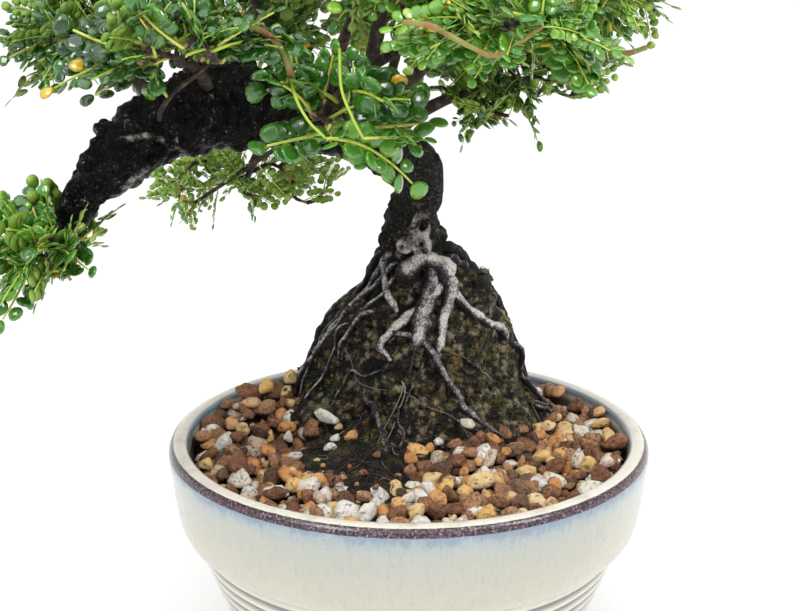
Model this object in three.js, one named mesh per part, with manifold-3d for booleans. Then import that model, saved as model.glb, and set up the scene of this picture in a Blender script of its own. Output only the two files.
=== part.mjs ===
// Osteomeles bonsai in its pot: a small tree with an exposed root cone, its trunk bent over to the left,
// a crown of pinnate leaves, and a round glazed pot filled with gravelly soil.
// Millimetres, +Z up, the front of the tree towards -Y, the surface that the pot stands on at z = 0.
import * as THREE from "three";
import { mergeVertices } from "three/addons/utils/BufferGeometryUtils.js";
import Module from "manifold-3d";

const wasm = await Module();
wasm.setup();

// Driving dimensions
const CLEARANCE = 0.3; // between pieces that touch
const POT = { height: 88, rim: 85, wall: 8.4, foot: 50, footWidth: 6, footHeight: 5, floor: 9 };
const POT_INSIDE = [[76.6, 62], [67, 44], [57, 22], [47, 11.5], [38, 9]]; // radius and height, from the shoulder down
const POT_SIDES = 32; // of the pot and of the soil in it
const DRAIN = { radius: 8, screen: 15, thick: 0.8 };
const SOIL = { level: 80, rise: 3.5, spread: 75, relief: 1.5, crumble: 1.3 };
const STONES = { count: 28, small: 3, large: 5, margin: 6 };
const MOUND = { y: 29, low: 60, top: 157, depth: 0.8 };
const LEAF = { length: 23, halfWidth: 6, pairs: 3, thick: 0.7, droop: 4.5, cup: 1.2, shows: 13 };
const AXIS = { x: 22, y: 1.5 }; // where the pot's axis stands in the part's frame, whose origin is under the middle
const GOLDEN_ANGLE = Math.PI * (3 - Math.sqrt(5)); // spreads repeats evenly round a middle

const COLOURS = {
  glaze: { color: 0xcfcdbb, roughness: 0.25, metalness: 0 },
  screen: { color: 0x22221f, roughness: 0.7, metalness: 0 },
  soil: { color: 0x7a4a30, roughness: 0.95, metalness: 0 },
  rootSoil: { color: 0x2c261a, roughness: 0.95, metalness: 0 },
  bark: { color: 0x4a443e, roughness: 0.85, metalness: 0 },
  leaf: { color: 0x2f6a1e, roughness: 0.35, metalness: 0 },
};

// A seeded stream of numbers from 0 to 1.
function draws(seed) {
  let state = seed >>> 0;
  return () => {
    state = (state + 0x6d2b79f5) >>> 0;
    let t = Math.imul(state ^ (state >>> 15), 1 | state);
    t = (t + Math.imul(t ^ (t >>> 7), 61 | t)) ^ t;
    return ((t ^ (t >>> 14)) >>> 0) / 4294967296;
  };
}

// A closed geometry as a solid that can be joined and cut.
function solid(geometry) {
  const bare = geometry.clone();
  bare.deleteAttribute("normal");
  bare.deleteAttribute("uv");
  const merged = mergeVertices(bare, 1e-4);
  return new wasm.Manifold(
    new wasm.Mesh({
      numProp: 3,
      vertProperties: new Float32Array(merged.attributes.position.array),
      triVerts: new Uint32Array(merged.index.array),
    }),
  );
}

// The largest body of a solid: loose scraps are dropped.
function mainBody(made) {
  return made.decompose().reduce((best, body) => (body.volume() > best.volume() ? body : best));
}

function node(name, made, look) {
  const cut = made.getMesh();
  const points = new Float32Array(cut.numVert * 3);
  for (let i = 0; i < cut.numVert; i++) {
    points.set(cut.vertProperties.subarray(i * cut.numProp, i * cut.numProp + 3), i * 3);
  }
  const geometry = new THREE.BufferGeometry();
  geometry.setAttribute("position", new THREE.BufferAttribute(points, 3));
  geometry.setIndex(new THREE.BufferAttribute(cut.triVerts, 1));
  geometry.computeVertexNormals();
  const mesh = new THREE.Mesh(geometry, new THREE.MeshStandardMaterial(COLOURS[look]));
  mesh.name = name;
  return mesh;
}

// Moves every vertex of a geometry by a function of the vertex.
function reshape(geometry, move) {
  const position = geometry.attributes.position;
  const v = new THREE.Vector3();
  for (let i = 0; i < position.count; i++) {
    v.fromBufferAttribute(position, i);
    move(v);
    position.setXYZ(i, v.x, v.y, v.z);
  }
  return geometry;
}

// A turned body about +Z from [radius, height] pairs.
function turned(profile, sides) {
  const points = profile.map(([r, z]) => new THREE.Vector2(r, z));
  return new THREE.LatheGeometry(points, sides).rotateX(Math.PI / 2);
}

// Value at t between the rows of a list, each row t and then its values.
function along(rows, t, column = 1) {
  const last = rows.length - 1;
  if (t <= rows[0][0]) return rows[0][column];
  if (t >= rows[last][0]) return rows[last][column];
  const i = rows.findIndex((row) => row[0] > t);
  const share = (t - rows[i - 1][0]) / (rows[i][0] - rows[i - 1][0]);
  return THREE.MathUtils.lerp(rows[i - 1][column], rows[i][column], share);
}

// A limb: a cylinder bent along a curve, its radius a function of the share travelled and of the angle round it.
function limb(curve, radiusAt, sides, steps) {
  const frames = curve.computeFrenetFrames(steps, false);
  const tube = new THREE.CylinderGeometry(1, 1, 1, sides, steps);
  return reshape(tube, (v) => {
    const k = Math.round((v.y + 0.5) * steps);
    const angle = Math.atan2(v.z, v.x);
    const reach = Math.hypot(v.x, v.z) < 0.5 ? 0 : radiusAt(k / steps, angle);
    v.copy(curve.getPointAt(k / steps));
    v.addScaledVector(frames.normals[k], reach * Math.cos(angle));
    v.addScaledVector(frames.binormals[k], -reach * Math.sin(angle));
  });
}

function joined(geometries) {
  return geometries.map(solid).reduce((a, b) => a.add(b));
}

// The pot's lower bowl with its throwing grooves.
function ribbedBowl() {
  const bowl = [[54, 9], [61, 20], [66, 30], [70, 38.5], [73, 45]];
  const outline = new THREE.CatmullRomCurve3(bowl.map(([r, z]) => new THREE.Vector3(r, z, 0)));
  const ribs = 5;
  const groove = 0.9;
  return Array.from({ length: 2 * ribs + 1 }, (_, i) => {
    const p = outline.getPointAt(i / (2 * ribs));
    return [p.x - (i % 2 ? groove : 0), p.y];
  });
}

// The pot: foot ring, ribbed lower bowl, rounded shoulder, upright band and a thick rounded rim.
function potSolid() {
  const { height, rim, wall, foot, footWidth, footHeight, floor } = POT;
  const outside = [
    [DRAIN.radius, footHeight],
    [foot - footWidth, footHeight],
    [foot - footWidth + 0.6, 0],
    [foot, 0],
    [foot + 1, 1.2],
    [foot + 1, 5.5],
    ...ribbedBowl(),
    [79.6, 54],
    [82.6, 61],
    [rim - 0.6, 78],
    [rim, height - 4],
    [rim - 0.7, height - 1.6],
    [rim - 2.4, height - 0.2],
    [rim - 5.6, height],
    [rim - wall + 0.7, height - 1.4],
  ];
  const inside = [[rim - wall, height - 4.5], ...POT_INSIDE, [DRAIN.radius, floor]];
  let pot = solid(turned([...outside, ...inside, outside[0]], POT_SIDES));
  const notches = 3;
  for (let i = 0; i < notches; i++) {
    const notch = new THREE.BoxGeometry(16, 16, 6).translate(foot, 0, 0);
    pot = pot.subtract(solid(notch.rotateZ(((i + 0.25) * 2 * Math.PI) / notches)));
  }
  return pot;
}

// The plastic screen over the drainage hole, which keeps the soil in.
function screenSolid() {
  const z = POT.floor + CLEARANCE + DRAIN.thick / 2;
  let screen = solid(new THREE.CylinderGeometry(DRAIN.screen, DRAIN.screen, DRAIN.thick, 14).rotateX(Math.PI / 2));
  const pitch = 6;
  const hole = 4;
  for (const i of [-0.5, 0.5]) {
    for (const j of [-0.5, 0.5]) {
      screen = screen.subtract(solid(new THREE.BoxGeometry(hole, hole, hole).translate(i * pitch, j * pitch, 0)));
    }
  }
  return screen.translate([0, 0, z]);
}

// The root cone: height, half width along X, and where its middle lies along X.
const CONE = [
  [60, 42, 4],
  [84, 49.5, 5],
  [95, 44, 4],
  [108, 38, 3.5],
  [118, 34, 3],
  [126, 28.5, 3.5],
  [135, 21, 6],
  [143, 15, 5.5],
  [150, 11.5, 3],
  [157, 9.5, 2],
];

function coneRadius(angle, z) {
  const lump = 1 + 0.05 * Math.sin(3 * angle + z / 9) + 0.035 * Math.sin(7 * angle - z / 5);
  const skirt = z < 100 ? 1 + 0.12 * Math.max(0, Math.cos(angle + 1.95)) * ((100 - z) / 20) : 1;
  return along(CONE, z) * lump * skirt;
}

function conePoint(angle, z, lift = 0) {
  const r = coneRadius(angle, z) + lift;
  return new THREE.Vector3(along(CONE, z, 2) + r * Math.cos(angle), MOUND.y + MOUND.depth * r * Math.sin(angle), z);
}

function coneSolid(extra) {
  const sides = 20;
  const steps = 9;
  const grit = draws(5);
  const jitter = Array.from({ length: sides * (steps + 1) }, () => (grit() - 0.5) * 2.2);
  const tube = new THREE.CylinderGeometry(1, 1, 1, sides, steps);
  return solid(
    reshape(tube, (v) => {
      const middle = Math.hypot(v.x, v.z) < 0.5;
      const share = v.y + 0.5;
      const angle = Math.atan2(-v.z, v.x);
      const i = (Math.round((angle / (2 * Math.PI)) * sides) + sides) % sides;
      const k = Math.round(share * steps);
      const z = MOUND.low + (MOUND.top - MOUND.low) * share;
      if (middle) v.set(along(CONE, z, 2), MOUND.y, share > 0.5 ? z + extra : z - extra);
      else v.copy(conePoint(angle, z, jitter[i * (steps + 1) + k] + extra));
    }),
  );
}

// The wood: trunk, exposed roots and branches, grown as one piece. Trunk rows are x, y, z, radius.
const TRUNK = [
  [4, 30, 104, 5],
  [4, 30, 130, 9],
  [3, 29, 144, 11.5],
  [2, 28.5, 155, 11.5],
  [2.4, 28, 162, 9.2],
  [4.4, 27, 169, 9],
  [2, 23, 178, 9.8],
  [-11, 12, 188.5, 10],
  [-25, 0, 196.5, 10.5],
  [-39, -14, 202, 11.5],
  [-53, -27, 204.5, 12.6],
  [-65, -38, 204, 12.4],
  [-77, -46, 199.5, 11],
  [-88, -52, 190.5, 8.6],
  [-97, -56, 180, 5.8],
  [-104, -58, 170, 3.2],
];
const trunkLine = new THREE.CatmullRomCurve3(TRUNK.map(([x, y, z]) => new THREE.Vector3(x, y, z)));

function trunkRadius(t) {
  const u = t * trunkLine.getLength();
  const lengths = trunkLine.getLengths(200);
  const marks = TRUNK.map((row, i) => [lengths[Math.round((i / (TRUNK.length - 1)) * 200)], row[3]]);
  return along(marks, u);
}

const ROOT_CROWN = { x: 4, y: 30, low: 110 }; // where the roots leave the trunk, inside the cone

// The roots: angle round the cone in degrees and height, from the trunk's foot down, then thickness at both ends.
const ROOTS = [
  { route: [[-95, 152], [-80, 147], [-62, 141], [-64, 132], [-68, 122], [-76, 113]], thick: [3.4, 1.3] },
  { route: [[-60, 143], [-50, 132], [-38, 126], [-25, 121], [-14, 114], [-10, 108]], thick: [2.4, 1.5] },
  { route: [[-72, 134], [-88, 127], [-102, 119], [-110, 112], [-112, 104], [-110, 99]], thick: [2.3, 1.6] },
  { route: [[-88, 138], [-85, 128], [-88, 120]], thick: [2.9, 2.2] },
  { route: [[-104, 118], [-90, 113], [-82, 107], [-76, 99], [-72, 92], [-62, 86], [-55, 78]], thick: [1.4, 1.0] },
  { route: [[-120, 147], [-130, 139], [-118, 132], [-113, 126]], thick: [2.2, 1.4] },
  { route: [[-140, 142], [-148, 134], [-152, 126], [-160, 116], [-168, 104], [-172, 92], [-175, 80]], thick: [1.9, 1.0] },
  { route: [[-118, 100], [-114, 92], [-110, 84], [-106, 76]], thick: [1.4, 1.1] },
  { route: [[-12, 112], [-5, 100], [-4, 91], [-8, 82], [-10, 76]], thick: [1.7, 1.3] },
  { route: [[-30, 151], [-18, 144], [-8, 137], [4, 128], [10, 116], [14, 100], [18, 84]], thick: [3.2, 1.6] },
  { route: [[70, 150], [76, 136], [86, 118], [98, 98], [104, 80]], thick: [2.8, 1.3] },
  { route: [[165, 147], [170, 136], [164, 120], [170, 104], [176, 88]], thick: [2.1, 1.1] },
];

// The crown in pads: middle, half sizes, where along the trunk its branch leaves, and how many leaves stand out.
const PADS = [
  { name: "apex", at: [2, 14, 268], size: [46, 42, 25], grows: 0.46, thick: 4.6, leaves: 6 },
  { name: "apex_left", at: [-58, 2, 254], size: [37, 35, 21], grows: 0.6, thick: 3.2, leaves: 4 },
  { name: "front_upper", at: [-6, -44, 250], size: [34, 29, 21], grows: 0.54, thick: 3, leaves: 4 },
  { name: "right", at: [45, 14, 211], size: [36, 31, 23], grows: 0.42, thick: 3.6, leaves: 5 },
  { name: "right_upper", at: [54, -18, 241], size: [31, 30, 20], grows: 0.46, thick: 3, leaves: 4 },
  { name: "front_right", at: [26, -74, 230], size: [31, 27, 18], grows: 0.54, thick: 2.8, leaves: 4 },
  { name: "front", at: [-20, -58, 205], size: [28, 25, 21], grows: 0.56, thick: 2.6, leaves: 5 },
  { name: "left_front", at: [-62, -82, 222], size: [32, 26, 20], grows: 0.72, thick: 2.7, leaves: 5 },
  { name: "left", at: [-98, -26, 226], size: [28, 32, 20], grows: 0.8, thick: 2.4, leaves: 4 },
  { name: "cascade", at: [-105, -60, 166], size: [23, 26, 22], grows: 0.97, thick: 3, leaves: 5 },
  { name: "back_left_low", at: [-64, 58, 168], size: [45, 27, 20], grows: 0.57, thick: 2.8, leaves: 5 },
  { name: "back_left", at: [-60, 52, 226], size: [35, 31, 21], grows: 0.6, thick: 3, leaves: 4 },
  { name: "back", at: [2, 68, 232], size: [34, 29, 22], grows: 0.42, thick: 3, leaves: 4 },
  { name: "back_right", at: [54, 62, 242], size: [29, 28, 20], grows: 0.44, thick: 2.6, leaves: 4 },
];

function branchLine(pad) {
  const start = trunkLine.getPointAt(pad.grows);
  const middle = new THREE.Vector3(...pad.at);
  const short = (0.4 * coreSize(pad).z) / start.distanceTo(middle);
  const end = middle.lerp(start, short);
  const rise = new THREE.Vector3(0, 0, 0.1 * start.distanceTo(end));
  const points = [0, 0.35, 0.7, 1].map((share) => {
    const bow = Math.sin(Math.PI * share);
    return start.clone().lerp(end, share).addScaledVector(rise, bow);
  });
  return new THREE.CatmullRomCurve3(points);
}

// Every limb of the wood, thicker by extra where it has to leave room round itself.
function woodLimbs(extra) {
  const limbs = [];
  const ridges = (t, a) => 1 + 0.07 * Math.sin(3 * a + 9 * t) + 0.05 * Math.sin(5 * a - 23 * t);
  limbs.push(limb(trunkLine, (t, a) => trunkRadius(t) * ridges(t, a) + extra, 11, 22));
  for (const { route, thick } of ROOTS) {
    const points = route.map(([deg, z]) => conePoint(THREE.MathUtils.degToRad(deg), z, 0.4));
    points.unshift(new THREE.Vector3(ROOT_CROWN.x, ROOT_CROWN.y, Math.max(points[0].z - 3, ROOT_CROWN.low)));
    const line = new THREE.CatmullRomCurve3(points);
    const radius = (t, a) => THREE.MathUtils.lerp(thick[0], thick[1], t) * (1 + 0.12 * Math.sin(2 * a + 14 * t));
    limbs.push(limb(line, (t, a) => radius(t, a) + extra, thick[0] > 2 ? 5 : 4, route.length));
  }
  for (const pad of PADS) {
    const line = branchLine(pad);
    limbs.push(limb(line, (t) => THREE.MathUtils.lerp(pad.thick, 1.2, Math.sqrt(t)) + extra, 5, 4));
  }
  return limbs;
}

// The soil's bed: it fills the pot, and its top is a crumbly relief that rises towards the root cone.
function soilBed() {
  const inner = POT.rim - POT.wall - CLEARANCE;
  const floor = POT.floor + CLEARANCE;
  const overScreen = floor + DRAIN.thick + CLEARANCE;
  const rings = 7;
  const bottom = [
    [0, overScreen],
    [DRAIN.screen + CLEARANCE, overScreen],
    [DRAIN.screen + CLEARANCE, floor],
    ...POT_INSIDE.map(([r, z]) => [r - CLEARANCE, Math.max(z + CLEARANCE / 2, floor)]).reverse(),
  ];
  const top = Array.from({ length: rings }, (_, i) => [inner * (1 - i / rings), SOIL.level]);
  const grit = draws(11);
  const drawn = new Map();
  return reshape(turned([...bottom, ...top, [0, SOIL.level]], POT_SIDES), (v) => {
    const r = Math.hypot(v.x, v.y);
    if (v.z < SOIL.level - 1 || r < 1) return;
    const key = Math.round(v.x * 10) + "," + Math.round(v.y * 10);
    if (!drawn.has(key)) drawn.set(key, [0, 1, 2].map(() => 2 * grit() - 1));
    const [a, b, c] = drawn.get(key);
    const near = Math.max(0, 1 - Math.hypot(v.x - CONE[1][2], v.y - MOUND.y) / SOIL.spread);
    const loose = r > inner - 1 ? 0 : SOIL.crumble;
    v.add(new THREE.Vector3(loose * b, loose * c, SOIL.rise * near + SOIL.relief * a));
  });
}

// The soil with its larger stones, half sunk and evenly spread.
function soilSolid() {
  const grit = draws(12);
  const reach = POT.rim - POT.wall - STONES.margin;
  let soil = solid(soilBed());
  for (let i = 0; i < STONES.count; i++) {
    const r = reach * Math.sqrt((i + 0.5) / STONES.count);
    const angle = i * GOLDEN_ANGLE;
    const size = STONES.small + (STONES.large - STONES.small) * grit() ** 2;
    const at = [r * Math.cos(angle), r * Math.sin(angle), SOIL.level + 0.35 * size];
    const fromCone = Math.hypot(at[0] - CONE[1][2], (at[1] - MOUND.y) / MOUND.depth) - CONE[1][1];
    const stone = new THREE.IcosahedronGeometry(size, 0).scale(1.2, 0.95, 0.75);
    stone.rotateX((grit() - 0.5) * 1.2).rotateZ(grit() * 2 * Math.PI).translate(...at);
    if (fromCone > -STONES.small) soil = soil.add(solid(stone));
  }
  return soil;
}

// One pinnate leaf as a thin arched blade, cut to its rib into round leaflets. It lies along +X from the origin.
function leafGeometry(extra, scale) {
  const { length, halfWidth, pairs, thick } = LEAF;
  const L = length * scale;
  const W = halfWidth * scale + extra;
  const pitch = (L * 0.72) / pairs;
  const rib = 0.6 + extra;
  const side = [[0, rib]];
  for (let i = 0; i < pairs; i++) {
    const x = L * 0.22 + i * pitch;
    side.push([x - 0.4 * pitch - extra, rib], [x - 0.26 * pitch, 0.85 * W], [x + 0.34 * pitch, W]);
  }
  side.push([L - 0.72 * pitch, rib], [L - 0.4 * pitch, 0.52 * W]);
  const outline = [...side, [L + extra, 0], ...side.map(([x, y]) => [x, -y]).reverse()];
  const depth = thick + 2 * extra;
  const shape = new THREE.Shape(outline.map(([x, y]) => new THREE.Vector2(x, y)));
  const blade = new THREE.ExtrudeGeometry(shape, { depth, bevelEnabled: false, steps: 1 });
  return reshape(blade.translate(0, 0, -depth / 2), (v) => {
    v.z -= LEAF.droop * (v.x / L) ** 2 + LEAF.cup * (v.y / W) ** 2;
  });
}

// Places a leaf with its foot at a point, its rib along a direction and its face turned up.
function placed(geometry, foot, direction, roll) {
  const x = direction.clone().normalize();
  const y = new THREE.Vector3(0, 0, 1).cross(x).normalize();
  const z = x.clone().cross(y);
  const turn = new THREE.Matrix4().makeBasis(x, y, z).multiply(new THREE.Matrix4().makeRotationX(roll));
  return geometry.applyMatrix4(turn.setPosition(foot));
}

function coreSize(pad) {
  return new THREE.Vector3(...pad.size.map((s) => Math.max(s - LEAF.shows, 0.4 * s)));
}

// The inner mass of a pad, lumpy all over.
function padCore(pad, index) {
  const chance = draws(100 + index);
  const bumps = new Map();
  const ball = reshape(new THREE.IcosahedronGeometry(1, 1), (v) => {
    const key = v.toArray().map((x) => Math.round(x * 50)).join();
    if (!bumps.has(key)) bumps.set(key, 0.72 + 0.5 * chance());
    v.multiplyScalar(bumps.get(key)).multiply(coreSize(pad)).add(new THREE.Vector3(...pad.at));
  });
  return solid(ball);
}

// Adds the leaves that stand out of a pad on all sides, each where it is clear of the other pads.
function addLeaves(pads, index, wood) {
  const pad = PADS[index];
  const chance = draws(300 + index);
  const others = [wood, ...pads.filter((_, i) => i !== index)];
  for (let i = 0; i < pad.leaves; i++) {
    const up = 0.9 - (1.6 * (i + 0.4)) / pad.leaves;
    const flat = Math.sqrt(1 - up * up);
    const tries = 9;
    for (let attempt = 0; attempt < tries; attempt++) {
      const turn = i * GOLDEN_ANGLE + index + attempt * 0.3 * (attempt % 2 ? 1 : -1);
      const out = new THREE.Vector3(flat * Math.cos(turn), flat * Math.sin(turn), up);
      const foot = out.clone().multiply(coreSize(pad)).multiplyScalar(0.72).add(new THREE.Vector3(...pad.at));
      const heading = new THREE.Vector3(out.x, out.y, out.z * 0.8 + 0.12);
      const roll = (chance() - 0.5) * 0.9;
      const scale = 0.92 + 0.2 * chance();
      const room = solid(placed(leafGeometry(CLEARANCE, scale), foot, heading, roll));
      if (others.some((other) => !other.intersect(room).isEmpty())) continue;
      pads[index] = pads[index].add(solid(placed(leafGeometry(0, scale), foot, heading, roll)));
      break;
    }
  }
}

function build() {
  const bonsai = new THREE.Group();
  bonsai.position.set(AXIS.x, AXIS.y, 0);
  const add = (name, made, look) => bonsai.add(node(name, made, look));
  const woodRoom = joined(woodLimbs(CLEARANCE));
  add("pot", potSolid(), "glaze");
  add("drainage_screen", screenSolid(), "screen");
  add("root_cone", mainBody(coneSolid(0).subtract(woodRoom)), "rootSoil");
  add("soil_bed", mainBody(soilSolid().subtract(coneSolid(CLEARANCE)).subtract(woodRoom)), "soil");
  add("trunk_and_roots", mainBody(joined(woodLimbs(0))), "bark");
  const pads = PADS.map((pad, index) => mainBody(padCore(pad, index).subtract(woodRoom)));
  PADS.forEach((pad, index) => {
    addLeaves(pads, index, woodRoom);
    add("foliage_" + pad.name, mainBody(pads[index]), "leaf");
  });
  return bonsai;
}

export default build();
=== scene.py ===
# Osteomeles bonsai in its pot. The finer pieces here replace the solids of the frame, in the same places.
# Lengths are in millimetres from the foot of the pot's axis. A piece turns them into metres when it is made.
import math

import bpy
import numpy as np
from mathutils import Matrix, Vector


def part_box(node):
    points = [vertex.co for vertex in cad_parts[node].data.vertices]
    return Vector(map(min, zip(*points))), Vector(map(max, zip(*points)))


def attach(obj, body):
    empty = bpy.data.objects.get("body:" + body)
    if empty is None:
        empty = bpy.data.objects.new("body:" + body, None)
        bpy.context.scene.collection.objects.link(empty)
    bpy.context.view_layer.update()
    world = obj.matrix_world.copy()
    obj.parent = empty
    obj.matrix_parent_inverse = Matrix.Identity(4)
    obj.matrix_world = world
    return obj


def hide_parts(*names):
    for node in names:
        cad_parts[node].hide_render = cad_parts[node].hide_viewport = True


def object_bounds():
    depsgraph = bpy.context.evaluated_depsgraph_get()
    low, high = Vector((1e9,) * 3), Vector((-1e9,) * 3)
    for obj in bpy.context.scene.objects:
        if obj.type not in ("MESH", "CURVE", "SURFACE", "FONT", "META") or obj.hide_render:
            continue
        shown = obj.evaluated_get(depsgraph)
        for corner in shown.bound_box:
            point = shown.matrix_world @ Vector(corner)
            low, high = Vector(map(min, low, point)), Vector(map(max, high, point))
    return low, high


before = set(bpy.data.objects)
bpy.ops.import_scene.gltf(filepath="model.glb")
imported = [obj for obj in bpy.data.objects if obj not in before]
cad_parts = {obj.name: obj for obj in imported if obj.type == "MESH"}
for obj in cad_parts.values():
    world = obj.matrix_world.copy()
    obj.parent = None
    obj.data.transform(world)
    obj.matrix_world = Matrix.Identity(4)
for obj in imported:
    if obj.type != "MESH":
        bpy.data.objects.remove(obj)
CAD_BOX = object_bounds()

MM = 0.001
POT_LOW, POT_HIGH = (np.array(corner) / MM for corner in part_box("pot"))
AXIS = np.array([(POT_LOW[0] + POT_HIGH[0]) / 2, (POT_LOW[1] + POT_HIGH[1]) / 2, 0.0])
UP = np.array([0.0, 0.0, 1.0])
TURN = 2 * math.pi
GOLDEN_ANGLE = math.pi * (3 - math.sqrt(5))

# The camera stands in front of the tree, as high as its crown, and is tipped down by its pitch in degrees.
CAMERA = {"at": (-3.0, -401.0, 238.5), "pitch": 14.7, "lens": 53.1, "sensor": 36.0, "clip": 10.0}

# The pale floor, flat and then sweeping up far behind: radius and height.
SWEEP = [[375, 0], [2000, 0], [2750, 40], [3750, 325], [5600, 1375], [7500, 2600]]
SWEEP_SIDES = 96

# The pot: radii inside the rim, of the foot ring and of the drainage hole, and its notches and ribs.
POT = {"inner": 78.2, "foot": 50.0, "foot_inner": 44.5, "drain": 8.0, "sides": 152}
NOTCHES = {"count": 3, "half_width": 8.0, "height": 3.0}
RIBS = {"pitch": 4.4, "depth": 1.1}

# The root cone: height, half width along X, and where its middle lies along X.
CONE = np.array([
    [60, 42, 4], [84, 49.5, 5], [95, 44, 4], [108, 38, 3.5], [118, 34, 3], [126, 28.5, 3.5],
    [135, 21, 6], [143, 15, 5.5], [150, 11.5, 3], [157, 9.5, 2],
], dtype=float)
CONE_Y = 29.0
CONE_FOOT = 84.0  # the height where it meets the stones
CONE_DEPTH = 0.8  # its width along Y as a share of that along X
# Clods that stand out of it: angle in degrees, height, how far and how wide.
CLODS = [
    (-14, 137, 5.0, 5.0), (-26, 144, 3.6, 3.6), (-6, 129, 2.6, 4.5), (-166, 127, 2.6, 5.0),
    (-152, 135, 2.4, 4.2), (-172, 113, 2.0, 6.0), (-60, 104, 1.6, 8.0), (-30, 118, 1.8, 7.0),
]

# The stones' top and depth, their gap to the pot, and how they rise towards the cone and the left.
SOIL = {
    "level": 81.2, "depth": 6.0, "gap": 1.8, "rise": 3.5, "spread": 75.0, "tilt": -0.018,
    "collar": 3.0, "collar_width": 8.0,
}
HEAP = {"x": -50.0, "y": 24.0, "height": 9.0, "spread": 13.0}
# Where wet fines have spilled from the cone over the stones at the front.
SPILL = {"x": -16.0, "y": -15.0, "half_x": 18.0, "half_y": 27.0, "height": 2.2}

# Kinds of stone: share, how angular, how lumpy, grain of the surface, how speckled, pits and tones.
STONE_KINDS = {
    "brown": (0.4, 0.65, 0.26, 0.9, 0.7, (62, 38, 26), (130, 84, 58), (168, 118, 86), (212, 162, 122)),
    "dark_brown": (0.17, 0.65, 0.26, 0.9, 0.65, (38, 26, 20), (84, 60, 46), (118, 88, 68), (150, 116, 92)),
    "orange": (0.1, 0.6, 0.06, 2.0, 0.3, (184, 112, 62), (220, 148, 88), (232, 170, 108), (242, 200, 146)),
    "ochre": (0.15, 0.8, 0.1, 1.9, 0.22, (216, 156, 84), (246, 196, 118), (250, 210, 140), (253, 228, 180)),
    "white": (0.11, 0.95, 0.07, 1.0, 0.2, (164, 140, 118), (250, 240, 222), (255, 248, 235), (255, 253, 246)),
    "rose": (0.07, 0.9, 0.07, 1.3, 0.35, (166, 132, 110), (216, 188, 162), (230, 208, 186), (242, 226, 210)),
}

# The stones that catch the eye: kind, x, y and half length. The ones between them fall at random.
SHOWN_STONES = [
    ("rose", -63, 23, 3.2), ("white", -71, 8, 3.2), ("white", -66, -3, 4.0), ("orange", -72, -1, 3.6),
    ("ochre", -61, 7, 4.4), ("rose", -53, -4, 4.0), ("ochre", -60, -17, 4.0), ("orange", -54, -22, 4.5),
    ("dark_brown", -66, -17, 3.6), ("rose", -65, -28, 3.6), ("white", -57, -33, 4.5), ("white", -43, -1, 3.0),
    ("brown", -40, -20, 5.4), ("white", -43, -43, 4.4), ("white", -33, -40, 4.8), ("ochre", -39, -38, 3.6),
    ("white", -27, -48, 3.8), ("white", -19, -59, 5.4), ("rose", -32, -58, 3.6), ("brown", 5, -29, 5.4),
    ("white", 4, -48, 4.6), ("ochre", 18, -40, 5.0), ("white", 16, -64, 3.2), ("white", 11, -9, 2.4),
    ("orange", 1, -18, 3.0), ("brown", 23, -8, 5.0), ("ochre", 31, -3, 4.0), ("white", 35, 2, 3.2),
    ("ochre", 39, -24, 4.8), ("ochre", 30, -34, 4.2), ("ochre", 41, -48, 5.0), ("white", 44, -33, 4.0),
    ("white", 54, -9, 5.2), ("orange", 55, -20, 3.6), ("white", 50, -31, 5.0), ("white", 64, 12, 4.6),
    ("white", 71, 14, 4.0), ("rose", 64, -6, 4.0), ("white", 63, -18, 4.0), ("rose", 66, -26, 4.4),
    ("brown", 67, -12, 3.6), ("ochre", 71, -8, 3.6), ("orange", 58, -25, 3.6), ("orange", 47, 3, 3.0),
    ("orange", 47, -9, 3.0), ("brown", 42, -4, 4.6), ("brown", -3, -57, 4.6), ("brown", 9, -55, 4.6),
]
# Stones on the heap, at the foot of the cone and on the spilled fines: kind, x, y, z and half length.
RAISED_STONES = [
    ("ochre", -53, 21, 96, 4.6), ("ochre", -45, 26, 98, 4.2), ("ochre", -47, 24, 93, 4.4),
    ("ochre", -44, 20, 90, 4.6), ("brown", -40, 19, 90, 4.6), ("orange", -58, 17, 91, 4.0),
    ("brown", -52, 14, 90, 4.4), ("brown", -60, 27, 92, 4.6), ("white", -30, 1.5, 91, 4.4),
    ("white", 21, -7, 92, 3.4), ("white", -26, -6, 86, 2.6), ("white", -28, -10, 84, 2.8),
    ("orange", -20, -7, 87, 3.4), ("ochre", -25, -3, 89, 2.2), ("brown", -35, 0, 87, 4.2),
    ("brown", 35, -4, 87, 3.4), ("orange", 30, -8, 86, 3.2), ("brown", 25, -9, 87, 3.0),
    ("brown", 41, 1, 87, 3.4), ("brown", 16, -12, 86, 3.2), ("ochre", 47, 6, 85, 3.0),
    ("brown", 52, 14, 85, 3.4), ("dark_brown", 45, -2, 84, 3.2), ("orange", 56, 20, 84, 3.0),
    ("brown", -15, -36, 85.5, 2), ("brown", -22, -39, 85, 1.4), ("dark_brown", -25, -45, 85, 1.3),
    ("brown", -20, -31, 85.5, 1.2), ("brown", -11, -47, 85, 1.5), ("orange", -29, -29, 85, 1.3),
    ("brown", -11, -22, 86, 1.7), ("dark_brown", -21, -51, 84.5, 1.8), ("brown", -17, -44, 84.5, 1.1),
]

# The trunk: x, y, z, radius.
TRUNK = np.array([
    [4, 30, 104, 5], [4, 30, 130, 9], [3, 29, 144, 11.5], [2, 28.5, 155, 11.5], [2.4, 28, 162, 9.2],
    [4.4, 27, 169, 9], [2, 23, 178, 9.8], [-11, 12, 188.5, 10], [-25, 0, 196.5, 10.5],
    [-39, -14, 202, 11.5], [-53, -27, 204.5, 12.6], [-65, -38, 204, 12.4], [-77, -46, 199.5, 11],
    [-88, -52, 190.5, 8.6], [-97, -56, 180, 5.8], [-104, -58, 170, 3.2],
], dtype=float)
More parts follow.
